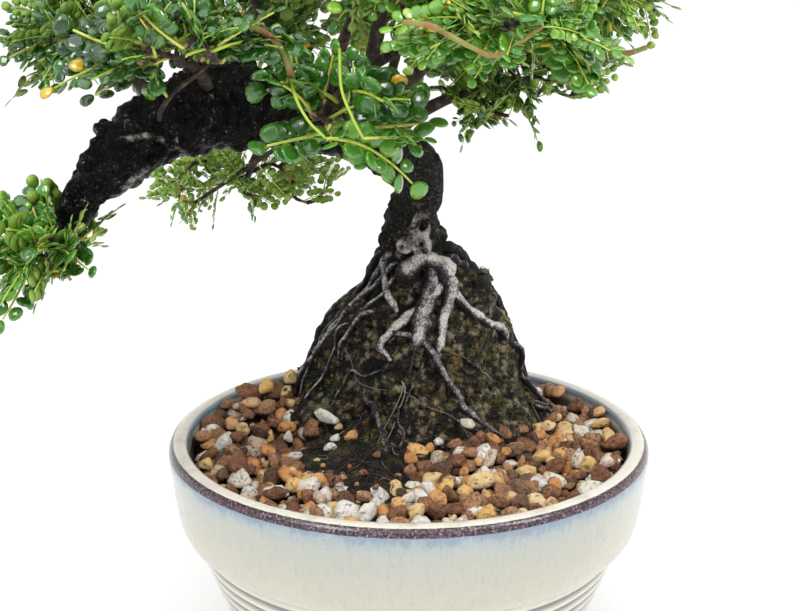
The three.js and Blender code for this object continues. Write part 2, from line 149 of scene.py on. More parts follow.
# Its knobs: how far along it, the turn round it, and their size.
KNOBS = [
    (0.27, 2.2, 2.8), (0.45, 2.4, 3.2), (0.52, -2.2, 3.8), (0.57, 0.5, 3.4), (0.62, -1.2, 4.6),
    (0.66, -2.4, 4.2), (0.7, 0.4, 4.0), (0.74, -1.6, 4.4), (0.78, -2.6, 4.6), (0.83, 1.4, 3.4),
    (0.86, -1.8, 3.6), (0.9, -0.6, 2.6),
]
# Raised pale ridges on the front of its bent part, their paleness partly the wood's own and partly painted
# glints.
RIDGES = [
    [(-46, -34, 195), (-52, -38, 193), (-62, -48, 191.5), (-70, -55, 196)],
    [(-70, -55, 196), (-76, -56, 191), (-81, -57, 187), (-87, -60, 182)],
    [(-70, -55, 196), (-76, -57, 199), (-84, -58, 198)],
]
# The burl low on the neck, in balls of a middle and a radius, and the ringed scars of old cuts on it.
BURL = [
    ((5.5, 20, 156.5), 4.8), ((-1, 19.5, 152), 3.4), ((9, 24, 153), 5.6), ((5.5, 18.4, 151.5), 4.2),
    ((-7, 24, 152), 4.5),
]
SCARS = [((4.9, 15.5, 158.2), 2.3), ((4.5, 14.2, 152.4), 2.7), ((-2.2, 15.8, 151.0), 1.3)]

# The roots: how pale the wood is, from 0 to 1, the radius at both ends, and the route from the trunk's foot
# down, each place as the angle round the cone in degrees and the height.
ROOTS = [
    (1.0, (3.7, 3.0), [(-108, 142), (-94, 145), (-80, 146), (-67, 143.5), (-64, 138), (-61, 133)]),
    (1.0, (2.5, 1.6), [(-63, 137), (-56, 132), (-43, 127), (-30, 122), (-17, 118), (-10, 112)]),
    (0.95, (2.7, 1.7), [(-63, 138), (-66, 132), (-71, 126), (-75, 120), (-78, 115)]),
    (0.75, (3.3, 2.8), [(-80, 141), (-88, 134), (-89, 128), (-90, 121), (-91, 117)]),
    (0.95, (2.0, 1.6), [(-76, 137), (-86, 132), (-97, 128), (-106, 123), (-110, 118), (-106, 112)]),
    (0.6, (1.5, 1.1), [
        (-104, 123), (-93, 121), (-84, 118), (-78, 111), (-74, 103),
        (-69, 96), (-60, 90), (-54, 86),
    ]),
    (0.85, (2.1, 1.6), [(-142, 145), (-136, 138), (-123, 134), (-114, 131), (-108, 128)]),
    (0.75, (1.8, 1.0), [
        (-140, 146), (-152, 139), (-158, 132), (-158, 124),
        (-164, 112), (-172, 100), (-176, 86),
    ]),
    (0.4, (1.4, 1.1), [(-118, 100), (-113, 96), (-107, 90), (-103, 83), (-100, 77)]),
    (0.6, (1.5, 1.1), [(-12, 112), (-5, 100), (-4, 91), (-8, 82), (-10, 76)]),
    (0.2, (2.3, 1.2), [(-30, 150), (-14, 143), (0, 136), (10, 127), (16, 116), (18, 100), (20, 84)]),
    (0.6, (2.8, 1.3), [(70, 150), (76, 136), (86, 118), (98, 98), (104, 80)]),
    (0.6, (2.1, 1.1), [(165, 147), (170, 136), (164, 120), (170, 104), (176, 88)]),
]
# Thinner roots that only the finished surface shows.
FINE_ROOTS = [
    (0.8, (1.4, 0.8), [
        (-132, 143), (-146, 136), (-153, 130), (-160, 123),
        (-166, 116), (-168, 104), (-168, 92),
    ]),
    (0.85, (1.2, 0.7), [(-128, 128), (-134, 125), (-139, 121), (-144, 115), (-149, 108)]),
    (0.75, (1.0, 0.6), [(-146, 122), (-150, 113), (-154, 102), (-157, 92)]),
    (0.5, (0.8, 0.4), [(-112, 108), (-122, 107), (-130, 108), (-134, 101), (-136, 94)]),
    (0.4, (0.8, 0.4), [(-100, 96), (-97, 90), (-99, 84), (-96, 79)]),
    (0.4, (0.6, 0.3), [(-62, 112), (-56, 107), (-50, 101)]),
    (0.45, (2.4, 1.6), [(-54, 146), (-42, 144), (-30, 143), (-20, 140)]),
    (0.6, (1.1, 0.7), [(-24, 92), (-14, 88), (-8, 83), (-6, 78)]),
    (0.7, (1.1, 0.6), [(-120, 140), (-128, 134), (-134, 130), (-136, 126)]),
    (0.4, (0.8, 0.4), [(-88, 112), (-92, 106), (-96, 100), (-95, 93)]),
    (0.5, (1.4, 0.6), [(20, 140), (30, 126), (36, 110), (40, 92), (44, 80)]),
    (0.6, (1.7, 0.7), [(120, 142), (128, 128), (132, 110), (138, 92), (140, 80)]),
    (0.6, (1.4, 0.6), [(-168, 146), (-176, 132), (-180, 118), (-184, 104)]),
]
# The roots' shared start inside the cone, and the lowest they may start.
ROOT_CROWN = np.array([4.0, 30.0])
ROOT_CROWN_LOW = 110.0

# The crown in pads: middle, half sizes, where along the trunk its branch leaves and how thick it is, the
# number of shoots, how far down they grow, from 1 for only the top to -1 for all round, how large their
# leaves are, and how much lighter their green is, or darker below 0, partly their own green and partly
# painted light and shade.
PADS = {
    "apex": ((2, 14, 268), (46, 42, 25), 0.46, 4.6, 26, -0.9, 0.88, 0.2),
    "apex_left": ((-58, 2, 254), (37, 35, 21), 0.6, 3.2, 23, -0.7, 0.85, 0.1),
    "front_upper": ((-6, -44, 250), (34, 29, 21), 0.54, 3.0, 24, -0.9, 0.92, 0.3),
    "right": ((45, 14, 211), (36, 31, 23), 0.42, 3.6, 25, -0.8, 0.66, -0.08),
    "right_upper": ((54, -18, 241), (31, 30, 20), 0.46, 3.0, 21, -0.8, 0.7, 0.0),
    "front_right": ((26, -74, 230), (31, 27, 18), 0.54, 2.8, 19, -0.5, 0.8, 0.12),
    "front": ((-23, -58, 206), (28, 25, 21), 0.56, 2.6, 16, -0.9, 1.2, 0.02),
    "left_front": ((-62, -82, 222), (32, 26, 20), 0.72, 2.7, 20, -0.2, 0.94, -0.26),
    "left": ((-98, -26, 226), (28, 32, 20), 0.8, 2.4, 25, -0.5, 0.8, -0.26),
    "cascade": ((-105, -60, 166), (23, 26, 22), 0.97, 3.0, 18, -0.9, 0.75, 0.05),
    "back_left_low": ((-64, 58, 168), (45, 27, 20), 0.57, 2.8, 15, -0.7, 0.5, 0.12),
    "back_left": ((-60, 52, 226), (35, 31, 21), 0.6, 3.0, 23, -0.9, 0.78, -0.05),
    "back": ((2, 68, 232), (34, 29, 22), 0.42, 3.0, 20, -0.8, 0.78, 0.05),
    "back_right": ((54, 62, 242), (29, 28, 20), 0.44, 2.6, 18, -0.8, 0.78, 0.1),
}
# Where a pad's outline is trimmed along a straight line: the share of X added to Z, and the least that gives.
TRIMS = {
    "back_left_low": (-0.33, 176.0), "right": (-0.52, 179.0),
    "cascade": (-0.95, 251.0), "front": (-0.45, 199.0),
}
# Stems that show in front of the leaves and the wood: pad, radius, how young they are, from 0 for brown to 1
# for green, and route.
STEMS = [
    ("left_front", 0.7, 0.1, [
        (-72, -60, 204), (-71, -62, 207), (-67, -63, 212), (-58, -62, 219), (-52, -64, 226),
    ]),
    ("front_upper", 1.0, 0.8, [
        (-33, -66, 213), (-33, -75, 219), (-35, -76, 225), (-41, -78, 230), (-51, -80, 232),
    ]),
    ("front_right", 0.7, 0.9, [
        (-2, -90, 232), (5, -94, 231), (15, -96, 226), (22, -96, 224), (33, -94, 231),
    ]),
    ("front", 0.45, 1.0, [(-34, -62, 222), (-32, -74, 213), (-28, -79, 206), (-23, -80, 201)]),
    ("front", 0.45, 1.0, [(-20, -62, 224), (-19, -74, 214), (-16, -79, 207), (-13, -79, 201)]),
    ("right", 1.1, 0.9, [(58, 6, 219), (66, 3, 220), (73, 1, 220), (79, 0, 222)]),
    ("right", 0.8, 0.3, [(12, 16, 205), (17, 10, 205), (22, 2, 201)]),
    ("right", 0.8, 0.3, [(20, 14, 203), (27, 8, 200), (34, 4, 199)]),
    ("right", 0.8, 0.3, [(8, 20, 207), (12, 6, 208), (14, -4, 205)]),
    ("back_left_low", 0.9, 0.0, [(-40, 20, 190), (-52, 34, 182), (-66, 46, 172), (-84, 52, 160)]),
]

LEAFLET = {"length": 5.8, "width": 0.46, "dome": 0.08, "thick": 0.3}
YELLOW_LEAFLETS = 0.012  # the share of leaflets that have turned yellow
LEAF_PITCH = 3.7  # from one pair of leaflets to the next
TIP_LEAF = 16.0  # how far the leaves at a shoot's tip reach past it
CROWN_MIDDLE = np.array([-10.0, 0.0, 215.0])
# Where the bent trunk shows bare: from X to X, and up to that far above its middle, more so further in front.
BARE = {"left": -94.0, "right": -38.0, "above": 8.5, "rise": 0.24}


# Small maths

def unit(v):
    return v / (np.linalg.norm(v, axis=-1, keepdims=True) + 1e-12)


def turns(sides):
    """Angles spread evenly round a circle."""
    return np.linspace(0, TURN, sides, endpoint=False)


def smoothstep(low, high, x):
    t = np.clip((x - low) / (high - low), 0, 1)
    return t * t * (3 - 2 * t)


def bell(x):
    """1 at 0, and down to 0 on both sides."""
    return np.exp(-(x**2))


def lattice(cell, seed):
    """A number from 0 to 1 for each whole cell."""
    x, y, z = (cell[..., i].astype(np.int64) for i in range(3))
    with np.errstate(over="ignore"):
        n = (x * 73856093) ^ (y * 19349663) ^ (z * 83492791) ^ (seed * 668265263)
        n = ((n ^ (n >> 13)) * 1274126177) & 0xFFFFFFFF
        n = ((n ^ (n >> 15)) * 2246822519) & 0xFFFFFFFF
    return ((n ^ (n >> 16)) & 0xFFFFFF) / 0xFFFFFF


def noise(points, size, seed=0):
    """Smooth noise from -1 to 1 with lumps of that size."""
    p = np.asarray(points) / size
    cell = np.floor(p)
    f = p - cell
    f = f * f * (3 - 2 * f)
    total = np.zeros(p.shape[:-1])
    for corner in np.ndindex(2, 2, 2):
        c = np.array(corner)
        weight = np.prod(np.where(c == 1, f, 1 - f), axis=-1)
        total += weight * lattice(cell + c, seed)
    return 2 * total - 1


def noise_3d(points, size, seed):
    """A separate noise for each of X, Y and Z."""
    return np.stack([noise(points, size, seed + k) for k in range(3)], -1)


def rough(points, size, octaves=3, seed=0):
    """Layers of noise, each half as large as the last."""
    return sum(noise(points, size / 2**i, seed + 17 * i) / 2**i for i in range(octaves))


def grains(points, size, seed=0):
    """1 at the middle of each grain of about that size, down to 0 in the gaps between them."""
    p = np.asarray(points) / size
    cell = np.floor(p)
    nearest = np.full(p.shape[:-1], 9.0)
    for step in np.ndindex(3, 3, 3):
        c = cell + np.array(step) - 1
        middle = c + np.stack([0.15 + 0.7 * lattice(c, seed + k) for k in (0, 5, 11)], -1)
        nearest = np.minimum(nearest, np.linalg.norm(p - middle, axis=-1))
    return np.clip(1 - nearest / 0.8, 0, 1)


def spline(points, count):
    """A smooth curve through the points, in even steps. Extra columns, such as a radius, ride along."""
    p = np.asarray(points, dtype=float)
    p = np.vstack([2 * p[0] - p[1], p, 2 * p[-1] - p[-2]])
    t = np.linspace(0, 1, 24, endpoint=False)[:, None]
    fine = []
    for a, b, c, d in zip(p, p[1:], p[2:], p[3:]):
        square = (2 * a - 5 * b + 4 * c - d) * t**2
        fine.append(0.5 * (2 * b + (c - a) * t + square + (3 * b - a - 3 * c + d) * t**3))
    fine = np.vstack([*fine, p[-2:-1]])
    length = np.concatenate([[0], np.cumsum(np.linalg.norm(np.diff(fine[:, :3], axis=0), axis=1))])
    even = np.linspace(0, length[-1], count)
    return np.stack([np.interp(even, length, column) for column in fine.T], axis=1)


def frames_along(path):
    """Tangent and two sideways directions at each point of a path, with no twist."""
    tangent = unit(np.gradient(path, axis=0))
    side = [unit(np.cross(tangent[0], [0.3, 0.9, 0.1]))]
    for t in tangent[1:]:
        side.append(unit(side[-1] - t * np.dot(side[-1], t)))
    side = np.array(side)
    return tangent, side, np.cross(tangent, side)


# Meshes

class Shape:
    """A growing mesh of triangles, with the index of a material for each and a tone for each point."""

    def __init__(self):
        self.points = []
        self.faces = []
        self.looks = []
        self.tones = []
        self.count = 0

    def add(self, points, faces, look=0, tone=0.5):
        self.points.append(np.asarray(points, dtype=float).reshape(-1, 3))
        self.faces.append(np.asarray(faces, dtype=np.int64).reshape(-1, 3) + self.count)
        self.looks.append(np.broadcast_to(look, len(self.faces[-1])))
        self.tones.append(np.broadcast_to(tone, len(self.points[-1])))
        self.count += len(self.points[-1])

    def arrays(self):
        return np.vstack(self.points), np.vstack(self.faces), np.concatenate(self.looks)


def link(name, data):
    obj = bpy.data.objects.new(name, data)
    bpy.context.scene.collection.objects.link(obj)
    return obj


def mesh_object(name, points, faces, looks=None):
    mesh = bpy.data.meshes.new(name)
    at = ((np.asarray(points) + AXIS) * MM).astype(np.float32)
    mesh.vertices.add(len(at))
    mesh.vertices.foreach_set("co", at.ravel())
    mesh.loops.add(3 * len(faces))
    mesh.loops.foreach_set("vertex_index", np.asarray(faces, dtype=np.int32).ravel())
    mesh.polygons.add(len(faces))
    mesh.polygons.foreach_set("loop_start", np.arange(0, 3 * len(faces), 3, dtype=np.int32))
    if looks is not None:
        mesh.polygons.foreach_set("material_index", np.asarray(looks, dtype=np.int32))
    mesh.update(calc_edges=True)
    mesh.shade_smooth()
    return link(name, mesh)


def paint(obj, name, values):
    """A number for each point, which a material can read."""
    layer = obj.data.attributes.new(name, "FLOAT", "POINT")
    layer.data.foreach_set("value", np.asarray(values, dtype=np.float32))


def dress(obj, materials, node):
    """Makes an object a piece that stands for a node of the frame."""
    for material in materials:
        obj.data.materials.append(material)
    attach(obj, "root")
    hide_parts(node)


def piece(name, shape, materials, node):
    obj = mesh_object(name, *shape.arrays())
    paint(obj, "tone", np.concatenate(shape.tones))
    dress(obj, materials, node)


def wall_faces(rows, sides, closed=False):
    """Triangles between rings of points, also from the last ring to the first if they are closed."""
    i, j = np.meshgrid(np.arange(rows if closed else rows - 1), np.arange(sides), indexing="ij")
    after = (j + 1) % sides
    a, b = i * sides + j, i * sides + after
    c, d = (i + 1) % rows * sides + j, (i + 1) % rows * sides + after
    return np.vstack([np.stack(corners, -1).reshape(-1, 3) for corners in ((a, b, d), (a, d, c))])


def capped(rings, first, last):
    """A closed body from rings of points, with a fan to one point at each end."""
    rows, sides = rings.shape[:2]
    points = np.vstack([rings.reshape(-1, 3), first, last])
    k = np.arange(sides)
    after = (k + 1) % sides
    end = (rows - 1) * sides
    first_fan = np.stack([np.full(sides, rows * sides), after, k], axis=1)
    last_fan = np.stack([np.full(sides, rows * sides + 1), end + k, end + after], axis=1)
    return points, np.vstack([wall_faces(rows, sides), first_fan, last_fan])


def filled(rings):
    """A closed body from rings of points, flat at both ends."""
    return capped(rings, rings[0].mean(0), rings[-1].mean(0))


def tube(path, radius, sides, swell=None):
    """A closed tube along a path. swell(rings x sides points) adds to the radius."""
    path = np.asarray(path, dtype=float)
    radius = np.broadcast_to(radius, len(path)).astype(float)
    _, side, other = frames_along(path)
    angle = turns(sides)[None, :, None]
    out = side[:, None] * np.cos(angle) + other[:, None] * np.sin(angle)
    rings = path[:, None] + out * radius[:, None, None]
    if swell is not None:
        rings = rings + out * swell(rings)[..., None]
    return capped(rings, path[0], path[-1])


def round_rings(radius, z, sides):
    """Level rings of points at each radius and height."""
    radius, z = np.asarray(radius, dtype=float)[:, None], np.asarray(z, dtype=float)[:, None]
    angle = turns(sides)
    return np.stack([radius * np.cos(angle), radius * np.sin(angle), np.repeat(z, sides, axis=1)], axis=-1)


def ball(detail):
    """A unit ball of triangles."""
    t = (1 + math.sqrt(5)) / 2
    points = [
        (-1, t, 0), (1, t, 0), (-1, -t, 0), (1, -t, 0), (0, -1, t), (0, 1, t),
        (0, -1, -t), (0, 1, -t), (t, 0, -1), (t, 0, 1), (-t, 0, -1), (-t, 0, 1),
    ]
    faces = [
        (0, 11, 5), (0, 5, 1), (0, 1, 7), (0, 7, 10), (0, 10, 11), (1, 5, 9), (5, 11, 4), (11, 10, 2),
        (10, 7, 6), (7, 1, 8), (3, 9, 4), (3, 4, 2), (3, 2, 6), (3, 6, 8), (3, 8, 9), (4, 9, 5), (2, 4, 11),
        (6, 2, 10), (8, 6, 7), (9, 8, 1),
    ]
    points = [np.array(p) / math.sqrt(1 + t * t) for p in points]
    for _ in range(detail):
        middle = {}
        finer = []
        for a, b, c in faces:
            for edge in (a, b), (b, c), (c, a):
                key = tuple(sorted(edge))
                if key not in middle:
                    middle[key] = len(points)
                    points.append(unit(points[key[0]] + points[key[1]]))
            ab, bc, ca = (middle[tuple(sorted(edge))] for edge in ((a, b), (b, c), (c, a)))
            finer += [(a, ab, ca), (b, bc, ab), (c, ca, bc), (ab, bc, ca)]
        faces = finer
    return np.array(points), np.array(faces)


def remeshed(shape, voxel):
    """The joined outside of overlapping closed bodies, as points and triangles in millimetres."""
    obj = mesh_object("union", *shape.arrays()[:2])
    mod = obj.modifiers.new("union", "REMESH")
    mod.mode = "VOXEL"
    mod.voxel_size = voxel * MM
    mod.adaptivity = 0
    made = obj.evaluated_get(bpy.context.evaluated_depsgraph_get()).to_mesh()
    made.calc_loop_triangles()
    points = np.empty(3 * len(made.vertices), dtype=np.float32)
    made.vertices.foreach_get("co", points)
    faces = np.empty(3 * len(made.loop_triangles), dtype=np.int32)
    made.loop_triangles.foreach_get("vertices", faces)
    obj.to_mesh_clear()
    old = obj.data
    bpy.data.objects.remove(obj)
    bpy.data.meshes.remove(old)
    return points.reshape(-1, 3) / MM - AXIS, faces.reshape(-1, 3)


def normals(points, faces):
    a, b, c = (points[faces[:, i]] for i in range(3))
    face = np.cross(b - a, c - a)
    total = np.zeros_like(points)
    for i, k in np.ndindex(3, 3):
        total[:, k] += np.bincount(faces[:, i], weights=face[:, k], minlength=len(points))
    return unit(total)


# Materials

def linear(colour):
    """A colour given as 0 to 255 on screen, as the shader's light values."""
    c = np.array(colour, dtype=float) / 255
    return (*np.where(c <= 0.04045, c / 12.92, ((c + 0.055) / 1.055) ** 2.4), 1)


class Look:
    """A node-based material, built up from noise, ramps and mixes."""

    def __init__(self, name, roughness=0.6, coat=0.0, specular=0.5, subsurface=0.0):
        self.material = bpy.data.materials.new(name)
        self.material.use_nodes = True
        self.nodes = self.material.node_tree.nodes
        self.links = self.material.node_tree.links
        self.shader = self.nodes["Principled BSDF"]
        values = {"Roughness": roughness, "Specular IOR Level": specular}
        values.update({"Coat Weight": coat, "Coat Roughness": 0.08})
        if subsurface:
            values["Subsurface Weight"] = subsurface
            values["Subsurface Radius"] = (0.4, 1.0, 0.2)
            values["Subsurface Scale"] = 0.6 * MM
        for socket, value in values.items():
            self.shader.inputs[socket].default_value = value
        self.place = self.nodes.new("ShaderNodeTexCoord").outputs["Object"]

    def node(self, kind, inputs, **settings):
        """A new node whose inputs are values or the outputs of other nodes."""
        node = self.nodes.new("ShaderNode" + kind)
        for name, value in settings.items():
            setattr(node, name, value)
        for key, value in inputs.items():
            if isinstance(value, bpy.types.NodeSocket):
                self.links.new(value, node.inputs[key])
            else:
                node.inputs[key].default_value = value
        return node

    def noise(self, size, detail=4.0, roughness=0.55, stretch=(1, 1, 1)):
        """Noise from 0 to 1 with lumps of that size in millimetres, drawn out where stretch is small."""
        place = self.node("Mapping", {"Vector": self.place, "Scale": stretch}).outputs["Vector"]
        inputs = {"Vector": place, "Scale": 1 / (size * MM), "Detail": detail, "Roughness": roughness}
        return self.node("TexNoise", inputs).outputs["Fac"]

    def island(self):
        """A number from 0 to 1 that differs from one loose body of the mesh to the next."""
        return self.node("NewGeometry", {}).outputs["Random Per Island"]

    def attribute(self, name, share=1.0):
        """A number painted on the points, times the share."""
        value = self.node("Attribute", {}, attribute_name=name).outputs["Fac"]
        return value if share == 1.0 else self.times(value, share)

    def height(self, low, high):
        """0 at one height in millimetres and 1 at another."""
        z = self.node("SeparateXYZ", {"Vector": self.place}).outputs["Z"]
        inputs = {"Value": z, "From Min": low * MM, "From Max": high * MM}
        return self.node("MapRange", inputs).outputs["Result"]

    def maths(self, operation, a, b):
        return self.node("Math", {0: a, 1: b}, operation=operation).outputs["Value"]

    def times(self, a, b):
        return self.maths("MULTIPLY", a, b)

    def vary(self, value, noise, amount):
        """A value made uneven by noise."""
        return self.maths("ADD", value, self.times(self.maths("SUBTRACT", noise, 0.5), amount))

    def mask(self, value, low, high, share=1.0):
        """A smooth step from 0 where the value is low to the share where it is high."""
        inputs = {"Value": value, "From Min": low, "From Max": high, "To Max": share}
        return self.node("MapRange", inputs, interpolation_type="SMOOTHSTEP").outputs["Result"]

    def ramp(self, value, stops):
        """Colours along a value: stops of position and colour."""
        node = self.node("ValToRGB", {"Fac": value})
        elements = node.color_ramp.elements
        while len(elements) < len(stops):
            elements.new(0.5)
        for element, (position, colour) in zip(elements, stops):
            element.position = position
            element.color = linear(colour)
        return node.outputs["Color"]

    def mix(self, share, a, b):
        """Colour a with that share of colour b."""
        a, b = (linear(colour) if isinstance(colour, tuple) else colour for colour in (a, b))
        return self.node("Mix", {0: share, 6: a, 7: b}, data_type="RGBA").outputs[2]

    def gloss(self, value, low, high):
        """Roughness from low to high as a value goes from 0 to 1."""
        node = self.node("MapRange", {"Value": value, "To Min": low, "To Max": high})
        self.links.new(node.outputs["Result"], self.shader.inputs["Roughness"])

    def finish(self, colour, relief=None, depth=0.0):
        """The material in that colour, with relief of that depth in millimetres."""
        self.links.new(colour, self.shader.inputs["Base Color"])
        if relief:
            bump = self.node("Bump", {"Height": relief, "Distance": depth * MM, "Strength": 1.0})
            self.links.new(bump.outputs["Normal"], self.shader.inputs["Normal"])
        return self.material


def glaze_look():
    """Celadon grey over cream, bluish high up and in the grooves, with an iron-brown line below the rim."""
    look = Look("glaze", roughness=0.25, coat=0.3, specular=0.35)
    streaks = look.noise(1.3, 6, 0.75, stretch=(1, 1, 0.22))
    clouds = look.noise(14, 6, 0.65)
    # The body is painted darker towards the foot, as painted shade on the lower wall.
    body = look.ramp(look.vary(look.vary(look.height(10, 88), streaks, 0.1), clouds, 0.12), [
        (0.0, (176, 174, 164)), (0.2, (196, 193, 180)), (0.5, (212, 208, 193)), (0.62, (190, 186, 171)),
        (0.75, (180, 178, 165)), (0.88, (172, 175, 167)), (0.925, (158, 168, 170)), (0.955, (128, 144, 160)),
    ])
    wall = look.mask(look.height(50, 62), 0.2, 0.9)
    body = look.mix(look.times(look.mask(clouds, 0.52, 0.72, 0.4), wall), body, (198, 190, 168))
    body = look.mix(look.times(look.mask(streaks, 0.5, 0.68, 0.35), wall), body, (148, 156, 156))
    body = look.mix(look.attribute("groove", 0.8), body, (62, 76, 88))
    rim = look.mix(look.mask(look.noise(7, 5), 0.48, 0.72), (222, 217, 204), (204, 195, 176))
    rim = look.mix(look.mask(look.noise(0.8), 0.6, 0.7, 0.35), rim, (156, 154, 148))
    body = look.mix(look.attribute("cream"), body, rim)
    # Painted shade: the inside wall below the lip, down to the soil, is darkened.
    body = look.mix(look.attribute("inner_wall_shade", 0.85), body, (62, 54, 46))
    iron = look.ramp(look.noise(0.8, 5, 0.75), [
        (0.4, (40, 28, 36)), (0.5, (70, 53, 60)), (0.58, (108, 90, 96)), (0.68, (184, 180, 184)),
    ])
    ragged = look.vary(look.attribute("iron"), look.noise(1.6, 5, 0.7), 1.1)
    body = look.mix(look.mask(ragged, 0.36, 0.66), body, iron)
    body = look.mix(look.mask(look.noise(0.8, 2), 0.73, 0.77), body, (96, 82, 66))
    look.gloss(look.attribute("bare"), 0.2, 0.8)
    return look.finish(look.mix(look.attribute("bare"), body, (150, 118, 88)), look.noise(3, 5), 0.3)


def stone_look(name, grain, speckle, pits, *tones):
    """Stones of one kind: a tone for each stone, fine grain and pits, and painted shade on their undersides.
    """
    look = Look(name, roughness=0.8, specular=0.4)
    pit_floor, underside_shade = (tuple(int(share * c) for c in pits) for share in (0.6, 0.16))
    body = look.ramp(look.island(), [(i / (len(tones) - 1), tone) for i, tone in enumerate(tones)])
    body = look.mix(look.mask(look.noise(3.4, 3), 0.45, 0.7, 0.45), body, tones[-1])
    body = look.mix(look.mask(look.noise(0.6, 5, 0.8), 0.48, 0.62, speckle), body, pits)
    pit = look.noise(grain, 4, 0.75)
    body = look.mix(look.mask(pit, 0.62, 0.66, 0.8), body, pit_floor)
    # Painted shade: the lower part of each stone, low in its tone, is darkened.
    body = look.mix(look.mask(look.vary(look.attribute("tone"), pit, 0.6), 0.75, 0.22), body, underside_shade)
    relief = look.maths("SUBTRACT", look.noise(1.6, 7, 0.75), look.mask(pit, 0.55, 0.66))
    return look.finish(body, relief, 1.3)


def fines_look():
    look = Look("fines", roughness=0.95, specular=0.2)
    body = look.ramp(look.noise(1.2, 6), [(0.3, (26, 18, 14)), (0.55, (60, 40, 30)), (0.75, (98, 68, 50))])
    return look.finish(body, look.noise(1.0, 6), 0.8)


def mound_look():
    """Crumbly soil, black in the gaps where shade is painted over the soil's own dark, lighter on its right
    side as painted light, its grains brown, ochre, olive or grey in patches, mossy low down.
    """
    look = Look("root_soil", roughness=0.85, specular=0.4)
    fine = look.noise(0.65, 6, 0.82)
    level = look.vary(look.vary(look.attribute("tone"), fine, 2.9), look.noise(9, 3), 0.8)
    body = look.ramp(level, [
        (0.12, (4, 4, 5)), (0.32, (20, 19, 19)), (0.48, (62, 57, 48)),
        (0.66, (116, 105, 83)), (0.92, (168, 156, 128)),
    ])
    lit = look.mask(level, 0.15, 0.5)
    patches = [
        (5.5, 0.52, 0.65, (134, 106, 60)), (4.2, 0.58, 0.45, (78, 82, 44)), (7.0, 0.56, 0.5, (60, 56, 62)),
    ]
    for size, least, share, colour in patches:
        spot = look.mask(look.noise(size), least, least + 0.1, share)
        body = look.mix(look.times(spot, lit), body, colour)
    low = look.mask(look.height(84, 150), 0.9, 0.1)
    moss = look.times(look.times(look.mask(look.noise(8.0, 5, 0.65), 0.52, 0.64, 0.75), low), lit)
    green = look.ramp(look.noise(1.4), [(0.3, (52, 60, 24)), (0.55, (100, 108, 44)), (0.75, (152, 150, 76))])
    look.gloss(look.mask(look.noise(4), 0.45, 0.6), 0.4, 0.9)
    return look.finish(look.mix(moss, body, green), fine, 1.4)


def crumb_look(name, stops):
    look = Look(name, roughness=0.95, specular=0.2)
    return look.finish(look.ramp(look.island(), stops), look.noise(0.5), 0.2)


def hair_look():
    look = Look("hair_roots", roughness=0.8, specular=0.3)
    body = look.ramp(look.attribute("tone"), [
        (0.0, (16, 13, 12)), (0.6, (48, 38, 35)), (0.85, (96, 82, 76)), (1.0, (186, 172, 162)),
    ])
    return look.finish(body, look.noise(0.5), 0.05)


def root_look():
    """Exposed roots: pale grey and lilac where light is painted on the sides facing up, out and to the right,
    black where shade is painted on the sides away from it.
    """
    look = Look("root_bark", roughness=0.7, specular=0.4)
    fine = look.noise(0.8, 7, 0.8)
    level = look.vary(look.vary(look.attribute("tone"), fine, 2.6), look.noise(3.5, 6, 0.75), 2.1)
    body = look.ramp(level, [
        (0.1, (12, 11, 12)), (0.3, (42, 37, 39)), (0.5, (92, 85, 89)), (0.72, (152, 145, 148)),
        (0.95, (222, 216, 210)),
    ])
    return look.finish(body, fine, 0.7)


def trunk_look():
    """Bark: dark grey and pitted up the neck, black and cracked along the bent part with painted shade in the
    cracks and painted glints on the crests and in pale flecks, and scarred, with painted shade in the scars'
    sunken middles.
    """
    look = Look("trunk_bark", roughness=0.7, specular=0.22)
    fine = look.noise(1.2, 7, 0.78)
    neck = look.ramp(fine, [
        (0.43, (4, 4, 4)), (0.5, (26, 24, 22)), (0.57, (60, 56, 51)), (0.66, (132, 126, 116)),
    ])
    # On the bent part the ridge value paints shade, black, in the cracks and glints, pale grey, on the
    # crests.
    black = look.ramp(look.vary(look.attribute("ridge"), fine, 2.6), [
        (0.35, (0, 0, 0)), (0.58, (4, 4, 5)), (0.72, (22, 21, 22)), (0.83, (92, 90, 90)),
        (0.94, (186, 184, 182)),
    ])
    body = look.mix(look.attribute("old"), neck, black)
    scar = look.ramp(look.vary(look.attribute("pale"), fine, 2.6), [
        (0.15, (26, 23, 22)), (0.45, (104, 98, 93)), (0.75, (182, 176, 168)), (1.0, (236, 230, 222)),
    ])
    body = look.mix(look.mask(look.attribute("pale"), 0.12, 0.4), body, scar)
    # Painted glints: small pale flecks scattered by noise.
    body = look.mix(look.mask(look.noise(1.1, 7, 0.9), 0.56, 0.64, 0.6), body, (124, 121, 116))
    # Painted shade: the sunken middles of the scars are black.
    body = look.mix(look.mask(look.attribute("hollow"), 0.35, 0.7), body, (4, 4, 4))
    look.gloss(look.attribute("old"), 0.8, 0.27)
    return look.finish(body, fine, 2.4)


def twig_look():
    """Brown twigs whose young ends flush orange and green."""
    look = Look("twig_bark", roughness=0.65, specular=0.35)
    old = look.ramp(look.noise(2.4, 5), [(0.3, (20, 15, 12)), (0.5, (48, 37, 30)), (0.7, (92, 74, 60))])
    young = look.mask(look.attribute("tone"), 0.55, 0.95, 0.8)
    flush = look.mix(look.mask(look.noise(5), 0.4, 0.6), (176, 122, 84), (158, 162, 88))
    return look.finish(look.mix(young, old, flush), look.noise(1.0, 6), 0.5)


def stalk_look():
    """Leaf stalks and new shoots: yellow-green, some flushed with orange."""
    look = Look("green_stalk", roughness=0.35, specular=0.5)
    body = look.ramp(look.attribute("tone"), [
        (0.0, (136, 160, 44)), (0.35, (166, 190, 62)), (0.7, (198, 212, 96)), (0.9, (208, 196, 104)),
        (1.0, (196, 128, 78)),
    ])
    return look.finish(look.mix(look.mask(look.noise(3), 0.5, 0.8), body, (132, 152, 52)))


